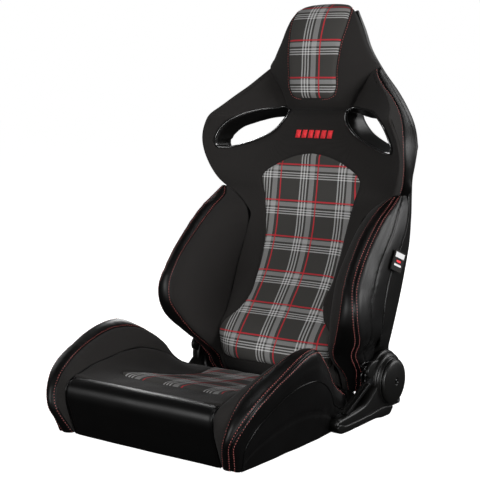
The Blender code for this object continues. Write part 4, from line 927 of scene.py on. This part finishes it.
# ---- backrest ---------------------------------------------------------------------------------
# Backrest pad: height, (out, back) of its rear edge, which meets the shell's from the wings up.
PAD_EDGE = [
    (0.055, (0.165, 0.178)), (0.085, (0.165, 0.182)), (0.160, (0.165, 0.190)), (0.240, (0.165, 0.218)),
    (0.320, (0.165, 0.262)), (0.400, (0.165, 0.296)), (0.447, (0.168, 0.300)), (0.480, (0.212, 0.300)),
    (0.505, (0.2600, 0.302)),
] + [(z, (x, y)) for z, x, y in FLANGE if 0.52 < z < 0.81]


def back_cushion_half(key, flat_cells, wrap_cells, band_cells):
    """The right half of the backrest pad: its face, the wrap round the wing, the band behind it."""
    front, seam, rear = pair(WING, key, 1), pair(WING, key, 2), pair(PAD_EDGE, key, 1)
    share = 1 - (1 - np.linspace(0, 1, flat_cells)) ** 1.35
    x = front[:, [0]] * share[None]
    z = np.repeat(key[:, None], len(share), axis=1)
    face = np.stack([x, back_front(x, z), z], axis=2)
    front, seam, rear = (np.column_stack([line, key]) for line in (front, seam, rear))
    wrap = straight(front, seam, wrap_cells, last=True)
    band = straight(seam, rear, band_cells, last=True)
    bow = np.sin(np.pi * np.arange(1, band_cells + 1) / band_cells)
    band[..., 0] += 0.004 * bow[None] * np.clip((key - 0.50) / 0.04, 0, 1)[:, None]
    return soften(np.concatenate([face, wrap, band], axis=1), 3, 1)


def build_back_cushion():
    """The front of the backrest with its wings, the harness slots and its plaid insert."""
    flat_cells, wrap_cells, band_cells = 84, 12, 14
    key = np.concatenate([np.linspace(0.056, 0.44, 90), np.linspace(0.4425, 0.806, 150)])
    half = back_cushion_half(key, flat_cells, wrap_cells, band_cells)
    mark = flat_cells - 1 + wrap_cells
    grid = both_sides(half)
    middle = half.shape[1] - 1
    behind = grid.mean(axis=1, keepdims=True) + np.array([0, 0.10, 0])
    normal = normals_of(grid, grid - behind)
    run = run_across(grid)
    lift = uneven(grid, 3, 0.10, 0.0008)
    upper = np.clip((key - 0.50) / 0.02, 0, 1)[:, None]
    for side, _ in SIDES:
        away = run - run[:, [middle + side * mark]]
        lift -= 0.0020 * np.exp(-(away / 0.0024) ** 2) * upper
    flat = seen_along_y(grid)
    facing = np.abs(np.arange(grid.shape[1]) - middle)[None] < flat_cells - 2
    beside = outline_distance(flat, insert_outline(BACK_INSERT))
    lift -= insert_well(beside, 0.0035, facing)
    slot = slot_front()
    near_slot = np.clip(outline_distance(flat, slot) - 0.002, 0, 1)
    lift -= np.where(facing, 0.003 * np.exp(-near_slot / 0.006), 0)
    grid = grid + normal * lift[..., None]
    snap_to_outline(grid, slot, SLOT_GAP, facing)
    keep = outside_outline(grid, slot, SLOT_GAP, facing)
    tags = np.zeros(keep.shape, int)
    tags[:, np.abs(np.arange(grid.shape[1] - 1) + 0.5 - middle) > mark] = 1
    item = closed_pad("back_pad", grid, normal, 0.009, [FABRIC, LEATHER], tags, keep=keep)
    finish(item, "backrest", "woven_fabric", "back_cushion", fill=0.8)
    first = int(np.searchsorted(key, 0.512))
    upper_skin = (grid[first:], normal[first:], run[first:])
    for side, word in SIDES:
        seam = run[first:, middle + side * mark]
        sew(f"wing_{word}_stitches", "backrest", upper_skin, seam - side * STITCH_OFFSET, 0.0002)
    insert_pad("back_insert_pad", BACK_INSERT, lambda a, b: np.stack([a, back_front(a, b), b], axis=-1),
               (0, -1, 0), 190, 0.5705, "backrest", "back_insert")


def head_rails():
    """Rows over the head pad: its middle line, its edge and the rim behind that."""
    rails = []
    for z, half, middle, edge in HEAD:
        if z < 0.95:
            rim_x = half - 0.003 if z > 0.80 else half - 0.001
            rails.append(((0.0, middle, z), (half, edge, z), (rim_x, 0.350, z)))
    rails.append(((0.0, 0.345, 0.9570), (0.071, 0.350, 0.9530), (0.069, 0.356, 0.949)))
    rails.append(((0.0, 0.362, 0.9590), (0.066, 0.362, 0.9540), (0.064, 0.364, 0.948)))
    rails.append(((0.0, 0.377, 0.9520), (0.062, 0.373, 0.9470), (0.060, 0.374, 0.942)))
    return along_rails(np.array(rails, float), 120)


def build_head():
    """The head pad and its plaid insert."""
    rails = head_rails()
    face_cells = 40
    share = np.linspace(0, 1, face_cells)
    middle, edge, rim = rails[:, 0], rails[:, 1], rails[:, 2]
    half = middle[:, None] + (edge - middle)[:, None] * share[None, :, None] ** 3
    half[..., 0] = edge[:, [0]] * share
    half = soften(np.concatenate([half, straight(edge, rim, 10, last=True)], axis=1), 1.8, 1)
    grid = both_sides(half)
    normal = normals_of(grid, grid - HEAD_CENTRE)
    beside = outline_distance(seen_along_y(grid), insert_outline(HEAD_INSERT))
    facing = np.abs(np.arange(grid.shape[1]) - half.shape[1] + 1)[None] < face_cells
    lift = uneven(grid, 9, 0.08, 0.0006) - insert_well(beside, 0.0035, facing)
    item = closed_pad("head_pad", grid + normal * lift[..., None], normal, 0.006, [FABRIC])
    finish(item, "backrest", "woven_fabric", "head_cushion", fill=0.8)
    build_head_insert(middle, edge)


def build_head_insert(middle, edge):
    """The plaid of the head pad, which runs over its top."""
    run = run_along(middle)
    front = slice(0, 100)
    low = np.interp(HEAD_INSERT[0][0], middle[front, 2], run[front])
    key = np.concatenate([low + 0.014 * (1 - np.cos(np.linspace(0, np.pi / 2, 14))),
                          np.linspace(low + 0.0165, run[-1], 90)])
    centre, side = at_run(key, run, middle), at_run(key, run, edge)
    over = np.clip((key - run[-1] * 0.80) / (run[-1] * 0.2), 0, 1)
    width = np.where(over > 0, 0.0785 - 0.018 * over, column(HEAD_INSERT, centre[:, 2]))

    def on_pad(x):
        """Points of the pad's front at the given distances out, one row for each key."""
        share = (np.abs(x) / side[:, [0]]) ** 3
        points = centre[:, None] + (side - centre)[:, None] * share[..., None]
        points[..., 0] = x
        return points

    gap = 0.0042
    rim = on_pad((width + gap)[:, None])[:, 0]
    turn = np.linspace(1, -1, 30)[1:-1]
    bottom = np.column_stack([rim[0, 0] * turn, np.full(len(turn), rim[0, 1]),
                              rim[0, 2] - gap * np.sqrt(1 - turn**2)])
    down = rim[:int(len(key) * 0.93)][::-1]
    line = even(np.concatenate([down, bottom, mirror(down[::-1], -1)]), 260)
    up = np.broadcast_to(np.array([0.0, -0.93, 0.36]), line.shape)
    finish(stitches("head_insert_stitches", line - 0.0004 * up, up, THREAD), "backrest", "plaid_fabric")

    share = np.sin(np.linspace(-np.pi / 2, np.pi / 2, 55))
    a = width[:, None] * share[None]
    grid = on_pad(a)
    normal = normals_of(grid, grid - HEAD_CENTRE)
    beside = np.minimum(width[:, None] - np.abs(a), (key - low)[:, None])
    lift = puff(beside, 0.0020) + uneven(grid, 8, 0.07, 0.0004)
    at = np.interp(0.8745, middle[front, 2], run[front])
    uv = np.stack([a, np.repeat((at - key)[:, None], len(share), axis=1)], axis=2)
    item = closed_pad("head_insert_pad", grid + normal * lift[..., None], normal, 0.005, [PLAID], uv=uv)
    finish(item, "backrest", "plaid_fabric", "head_insert", fill=0.8)


def build_shell():
    """The rear shell of the backrest, with its two slots."""
    key = np.concatenate([
        np.linspace(0.125, 0.57, 90), np.linspace(0.573, 0.72, 60), np.linspace(0.724, 0.945, 40)])
    edge = np.column_stack([column(FLANGE, key, 1), column(FLANGE, key, 2), key])
    corner = np.column_stack([column(SHELL, key, 1), column(SHELL, key, 2), key])
    middle = column(SHELL, key, 3)
    flank = (edge + corner) / 2
    flank[:, 0] = 0.55 * edge[:, 0] + 0.45 * corner[:, 0] + 0.004
    rails = [edge, flank, corner]
    for share in (0.88, 0.62, 0.32, 0.0):
        x = corner[:, 0] * share
        rails.append(np.column_stack([x, middle + (corner[:, 1] - middle) * share**2.4, key]))
    half = across_rails(np.stack(rails, axis=1), (7, 7, 12, 22, 20, 16))[0]
    grid = np.concatenate([half, mirror(half[:, -2::-1], -1)], axis=1)
    normal = normals_of(grid, grid - np.array([0, 0.2, 0.5]))
    cells = np.arange(grid.shape[1])
    facing = (np.minimum(cells, cells[::-1]) > 12)[None]
    snap_to_outline(grid, rear_slot(), 0.0, facing)
    keep = outside_outline(grid, rear_slot(), 0.0, facing)
    item = closed_pad("shell_skin", grid, normal, 0.004, [MOULDED], keep=keep)
    finish(item, "backrest", "moulded_plastic", "back_shell")


def slot_depth(outline):
    """Distance back of the front cover round the slot, smoothed."""
    depth = back_front(outline[:, 0], outline[:, 1])
    around = np.concatenate([depth[-12:], depth, depth[:12]])[:, None]
    return soften(around, 3, 0)[12:-12, 0]


def build_bezels():
    """A gloss rim round each harness slot, and the tunnel through the backrest behind it."""
    outline = slot_front()
    out = outline_normals(outline)
    front = slot_depth(outline + out * 0.003)
    behind = rear_slot()
    rear = shell_back(behind[:, 0], behind[:, 1])
    throat = slot_at(0.0, 0.007, 0.022)
    throat_share = 0.7
    rim_profile = (
        (0.0030, 0.0040), (0.0036, 0.0004), (0.0034, -0.0020), (0.0022, -0.0036), (0.0004, -0.0040),
        (-0.0010, -0.0030), (-0.0018, -0.0008), (-0.0018, 0.0060), (0.0004, 0.0080),
    )
    ring = []
    for shift, depth in rim_profile:
        at = outline + out * shift
        ring.append(np.column_stack([at[:, 0], front + depth, at[:, 1]]))
    wall = []
    for way, thick in ((1, 0.0), (-1, 0.0022)):
        for share in np.linspace(0, 1, 11)[::way]:
            neck = min(share / throat_share, 1.0)
            at = (outline - out * 0.0016) * (1 - neck) + throat * neck
            wide = max(share - throat_share, 0.0) / 0.3
            at = at * (1 - wide) + behind * wide + out * thick
            depth = (front + 0.004) * (1 - share) + (rear + 0.0012 - 0.2 * thick) * share
            wall.append(np.column_stack([at[:, 0], depth, at[:, 1]]))
    for side, word in SIDES:
        item = ring_loft(f"slot_rim_{word}", mirror(np.stack(ring, axis=1), side), RIM)
        finish(item, "backrest", "gloss_plastic", f"harness_bezel_{word}")
        item = ring_loft(f"slot_tunnel_{word}", mirror(np.stack(wall, axis=1), side), MOULDED)
        finish(item, "backrest", "gloss_plastic")


# ---- recliners and lever ----------------------------------------------------------------------
def lathe(name, profile, centre, side, material, count=96):
    """A closed solid turned about an X axis through centre (back, up)."""
    angle = 2 * np.pi * np.arange(count) / count
    profile = np.array(profile)
    grid = np.empty((count, len(profile), 3))
    grid[..., 0] = side * profile[None, :, 0]
    grid[..., 1] = centre[0] + np.cos(angle)[:, None] * profile[None, :, 1]
    grid[..., 2] = centre[1] + np.sin(angle)[:, None] * profile[None, :, 1]
    return ring_loft(name, grid, material)


def prism(name, outline, span, side, material, rounding, steps):
    """A plate across X from a closed (back, up) outline, its outer edge rounded over."""
    out = outline_normals(outline)
    layers = [(span[0], 0.0)]
    for k in range(steps + 1):
        angle = math.pi / 2 * k / steps
        layers.append((span[1] - rounding * (1 - math.sin(angle)), rounding * (1 - math.cos(angle))))
    rows = [np.column_stack([np.full(len(outline), side * x), outline - out * shift]) for x, shift in layers]
    return closed_loft(name, np.stack(rows), [material])


def build_covers():
    """The recliner covers: drum, cap, foot with its ridge, and the lug over the arm."""
    drum = [
        (0.2455, 0.0560), (0.2455, 0.0700), (0.2462, 0.0710), (0.2525, 0.0712), (0.2540, 0.0706),
        (0.2552, 0.0692), (0.2556, 0.0672), (0.2562, 0.0658), (0.2620, 0.0654), (0.2642, 0.0646),
        (0.2660, 0.0628), (0.2668, 0.0600), (0.2674, 0.0570), (0.2735, 0.0552), (0.2749, 0.0540),
        (0.2749, 0.0100), (0.2700, 0.0100), (0.2640, 0.0540),
    ]
    cap = [
        (0.2752, 0.0030), (0.2752, 0.0528), (0.2772, 0.0535), (0.2796, 0.0530), (0.2817, 0.0512),
        (0.2832, 0.0482), (0.2844, 0.0430), (0.2854, 0.0340), (0.2864, 0.0220), (0.2870, 0.0120),
        (0.2872, 0.0082), (0.2866, 0.0070), (0.2850, 0.0064), (0.2845, 0.0030),
    ]
    foot = [
        (-0.0190, 0.0240), (-0.0165, 0.0120), (-0.0060, 0.0030), (0.0100, 0.0012), (0.0600, 0.0014),
        (0.1400, 0.0030), (0.2180, 0.0050), (0.2360, 0.0150), (0.2360, 0.0500), (0.2000, 0.0600),
        (0.1640, 0.0830), (0.1430, 0.0720), (0.1240, 0.0580), (0.1050, 0.0480), (0.0750, 0.0420),
        (0.0310, 0.0375), (0.0000, 0.0350), (-0.0140, 0.0325),
    ]
    ridge = [
        (-0.0200, 0.0200), (-0.0170, 0.0100), (-0.0050, 0.0020), (0.0110, 0.0006), (0.0610, 0.0009),
        (0.1400, 0.0026), (0.2190, 0.0045), (0.2260, 0.0130), (0.2000, 0.0210), (0.1200, 0.0190),
        (0.0500, 0.0170), (0.0100, 0.0180), (-0.0120, 0.0240),
    ]
    lug = [
        (0.1450, 0.0940), (0.1330, 0.1010), (0.1305, 0.1130), (0.1370, 0.1250), (0.1480, 0.1315),
        (0.1650, 0.1340), (0.1900, 0.1300), (0.2150, 0.1200), (0.2150, 0.0800), (0.1700, 0.0800),
    ]
    plates = (
        ("foot", even(foot, 140, closed=True), (0.2425, 0.2715), 0.0085, 6),
        ("ridge", even(ridge, 140, closed=True), (0.2520, 0.2740), 0.0030, 4),
        ("lug", even(lug, 90, closed=True), (0.2500, 0.2600), 0.0030, 4),
    )
    for side, word in SIDES:
        cover = lathe(f"cover_drum_{word}", drum, COVER_CENTRE, side, MOULDED)
        finish(cover, "seat_base", "moulded_plastic", f"recliner_cover_{word}")
        for part, outline, span, rounding, steps in plates:
            plate = prism(f"cover_{part}_{word}", outline, span, side, MOULDED, rounding, steps)
            finish(plate, "seat_base", "moulded_plastic")
        disc = lathe(f"cap_disc_{word}", cap, COVER_CENTRE, side, MOULDED)
        finish(disc, "seat_base", "moulded_plastic", f"recliner_cap_{word}")


def build_lever():
    """The flat paddle on the release lever, with two ribbed strips on top."""
    tip, heel = np.array([0.0150, 0.0448]), np.array([0.1150, 0.0945])
    length = np.linalg.norm(heel - tip)
    way = (heel - tip) / length
    across = np.array([-way[1], way[0]])
    section = [(0.2580, -0.0095), (0.2569, -0.0080), (0.2568, -0.0012), (0.2573, -0.0002)]
    section += [(x, 0.0) for x in np.linspace(0.2578, 0.2634, 5)]
    section += [(0.2639, -0.0004), (0.2643, -0.0016), (0.2653, -0.0016), (0.2657, -0.0004)]
    section += [(x, 0.0) for x in np.linspace(0.2662, 0.2730, 5)]
    section += [(0.2734, 0.0003), (0.2738, 0.0008), (0.2744, 0.0008), (0.2748, 0.0002)]
    section += [(0.2748, -0.0080), (0.2738, -0.0095)]
    section = np.array(section)
    ribbed = section[:, 1] == 0.0
    middle = np.array([0.2658, -0.0048])
    rib_height, rib_pitch = 0.0005, 0.0034
    grid = []
    for run in np.linspace(0, length, 200):
        end = min(run, length - run)
        full = math.sqrt(max(1 - (1 - min(end / 0.006, 1)) ** 2, 0.02))
        rib = rib_height * np.clip(2 * math.sin(2 * math.pi * run / rib_pitch), -1, 1) * (end > 0.007)
        shape = middle + (section - middle) * np.array([0.80 + 0.20 * full, full])
        shape[:, 1] -= np.where(ribbed, 0.0004 - rib, 0)
        grid.append(np.column_stack([shape[:, 0], tip + way * run + across * shape[:, [1]]]))
    item = closed_loft("lever_paddle", np.array(grid), [MOULDED])
    finish(item, "release_lever", "moulded_plastic", "release_lever_grip")


def build_wires():
    """The two loops of spring wire that show in front of the right recliner cover."""
    loops = (
        ((0.168, 0.1280), (0.140, 0.1335), (0.118, 0.1335), (0.1115, 0.1300), (0.118, 0.1262),
         (0.150, 0.1240)),
        ((0.140, 0.1210), (0.122, 0.1185), (0.114, 0.1110), (0.1128, 0.1000), (0.116, 0.0890),
         (0.123, 0.0860), (0.129, 0.0900), (0.131, 0.1040), (0.137, 0.1190)),
    )
    for number, loop in enumerate(loops, start=1):
        line = even(loop, 70)
        points = np.column_stack([np.full(len(line), 0.2520), line])
        finish(tube(f"spring_wire_{number}", points, 0.0016, GLOSS), "seat_base", "spring_steel")


def build_skirt():
    """Cloth flap under the back cushion."""
    x = np.linspace(-0.189, 0.189, 90)
    path = even(((0.1812, 0.0775), (0.1816, 0.0560), (0.1870, 0.0380), (0.1950, 0.0120)), 26)
    grid = np.empty((len(path), len(x), 3))
    grid[..., 0] = x[None]
    grid[..., 1:] = path[:, None]
    hang = np.linspace(0, 1, len(path))[:, None]
    grid[..., 1] += 0.0014 * hang * np.sin(x / 0.021 + 1.5 * np.sin(x / 0.060))[None]
    forward = np.broadcast_to((0.0, -1.0, 0.0), grid.shape)
    item = closed_pad("back_skirt_cloth", grid, forward, 0.0016, [FABRIC])
    finish(item, "backrest", "woven_fabric", "back_skirt")


# ---- small sewn pieces ------------------------------------------------------------------------
def flat_quad(name, corners, inner, outer, material):
    """A thin four-cornered plate on the right side, between two X values."""
    near = np.column_stack([np.full(4, inner), corners])
    far = np.column_stack([np.full(4, outer), corners])
    item = closed_loft(name, np.stack([near, far]), [material])
    item.data.shade_flat()
    return item


def build_tag():
    """The label sewn into the side seam, with two plain bars."""
    a, b, c, d = np.array([(0.2130, 0.3900), (0.2600, 0.3730), (0.2350, 0.3310), (0.1890, 0.3480)])
    label = flat_quad("side_label", np.array([a, b, c, d]), 0.2800, 0.2822, FABRIC)
    finish(label, "backrest", "woven_fabric", "side_tag")
    bars = (
        (0.08, 0.92, 0.08, 0.34, PALE), (0.30, 0.70, 0.46, 0.56, RED), (0.16, 0.84, 0.66, 0.76, PALE),
    )
    for number, (u0, u1, v0, v1, material) in enumerate(bars):
        spots = []
        for u, v in ((u0, v0), (u1, v0), (u1, v1), (u0, v1)):
            spots.append((a * (1 - u) + b * u) * (1 - v) + (d * (1 - u) + c * u) * v)
        bar = flat_quad(f"side_label_bar_{number}", np.array(spots), 0.2821, 0.2826, material)
        finish(bar, "backrest", "woven_fabric")


def build_emblem():
    """Plain slanted red bars sewn on the chest."""
    for number in range(6):
        x = -0.050 + 0.0185 * number
        points = np.array([(x, 0.6350), (x + 0.0125, 0.6350), (x + 0.0155, 0.6545), (x + 0.0030, 0.6545)])
        edge = even_polygon(points, 5)
        y = back_front(edge[:, 0], edge[:, 1])
        near = np.column_stack([edge[:, 0], y - 0.0018, edge[:, 1]])
        far = np.column_stack([edge[:, 0], y + 0.0040, edge[:, 1]])
        finish(closed_loft(f"emblem_bar_{number}", np.stack([near, far]), [RED]), "backrest", "woven_fabric")


def even_polygon(points, steps):
    """A polygon with each side cut into equal steps."""
    out = []
    for a, b in zip(points, np.roll(points, -1, axis=0)):
        out += [a + (b - a) * k / steps for k in range(steps)]
    return np.array(out)


# ---- CAD nodes that stay ----------------------------------------------------------------------
def dress_frame():
    """Gives each CAD node that still shows its material, by a word in its name."""
    for name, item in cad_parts.items():
        if item.hide_render:
            continue
        words = (("spring", WIRE), ("bolt", ZINC), ("screw", GLOSS), ("", STEEL))
        material = next(m for word, m in words if word in name)
        item.data.materials.clear()
        item.data.materials.append(material)


# ---- floor, light and camera ------------------------------------------------------------------
def direction(turn, rise):
    """A unit vector towards a place turned from the front by one angle and raised by another."""
    turn, rise = math.radians(turn), math.radians(rise)
    return Vector((math.sin(turn) * math.cos(rise), -math.cos(turn) * math.cos(rise), math.sin(rise)))


def build_floor():
    """A white floor under a cut-out view, which lights nothing itself."""
    bpy.ops.mesh.primitive_plane_add(size=30, location=(0, 0, -0.0005))
    floor = bpy.context.object
    floor.name = "floor"
    pale = plain("floor", (0.60, 0.60, 0.60), 0.9, specular=0.0)
    shader = pale.node_tree.nodes["Principled BSDF"]
    shader.inputs["Emission Color"].default_value = (1, 1, 1, 1)
    shader.inputs["Emission Strength"].default_value = 0.985
    floor.data.materials.append(pale)
    floor.visible_diffuse = False
    floor.visible_glossy = False


def build_world():
    """A world that is white to look at and gives only weak light."""
    world = bpy.data.worlds.new("studio")
    bpy.context.scene.world = world
    world.use_nodes = True
    nodes, links = world.node_tree.nodes, world.node_tree.links
    shade = nodes["Background"]
    shade.inputs["Color"].default_value = (1, 1, 1, 1)
    path = nodes.new("ShaderNodeLightPath")
    strength = nodes.new("ShaderNodeMapRange")
    strength.inputs["To Min"].default_value = 0.024
    strength.inputs["To Max"].default_value = 1.0
    links.new(path.outputs["Is Camera Ray"], strength.inputs["Value"])
    links.new(strength.outputs["Result"], shade.inputs["Strength"])


def build_lamps():
    """Soft lamps round the seat: name, degrees of turn and rise, watts."""
    lamps = (
        ("right", 80, 5, 71), ("front_left", -25, 5, 35), ("front", 20, 5, 16), ("fill", 40, 22, 15),
        ("right_rear", 140, 5, 23), ("rear", 166, 28, 8), ("rear_left", -140, 20, 30),
        ("left", -100, 12, 6), ("top", 0, 80, 14),
    )
    middle = Vector((0, 0, 0.45))
    for name, turn, rise, power in lamps:
        data = bpy.data.lights.new(name, "AREA")
        data.size = 0.9
        data.energy = power
        lamp = bpy.data.objects.new(name, data)
        away = direction(turn, rise)
        lamp.location = middle + 3.0 * away
        lamp.rotation_euler = (-away).to_track_quat("-Z", "Y").to_euler()
        bpy.context.scene.collection.objects.link(lamp)


def build_camera():
    """The view of the seat from its right front."""
    turn, rise = 36.4, 7.5
    right = direction(turn + 90, 0)
    back = direction(turn, rise)
    axes = Matrix((right, back.cross(right), back)).transposed().to_4x4()
    data = bpy.data.cameras.new("camera")
    data.lens = 90
    data.sensor_width = 36
    camera = bpy.data.objects.new("camera", data)
    camera.matrix_world = Matrix.Translation((1.61636, -2.20359, 0.77182)) @ axes
    bpy.context.scene.collection.objects.link(camera)
    bpy.context.scene.camera = camera


build_thighs()
build_seat()
build_roll()
build_back_cushion()
build_back_bolsters()
build_head()
build_shell()
build_bezels()
build_covers()
build_lever()
build_wires()
build_skirt()
build_tag()
build_emblem()
dress_frame()
build_floor()
build_world()
build_lamps()
build_camera()
bpy.context.scene.view_settings.view_transform = "Standard"
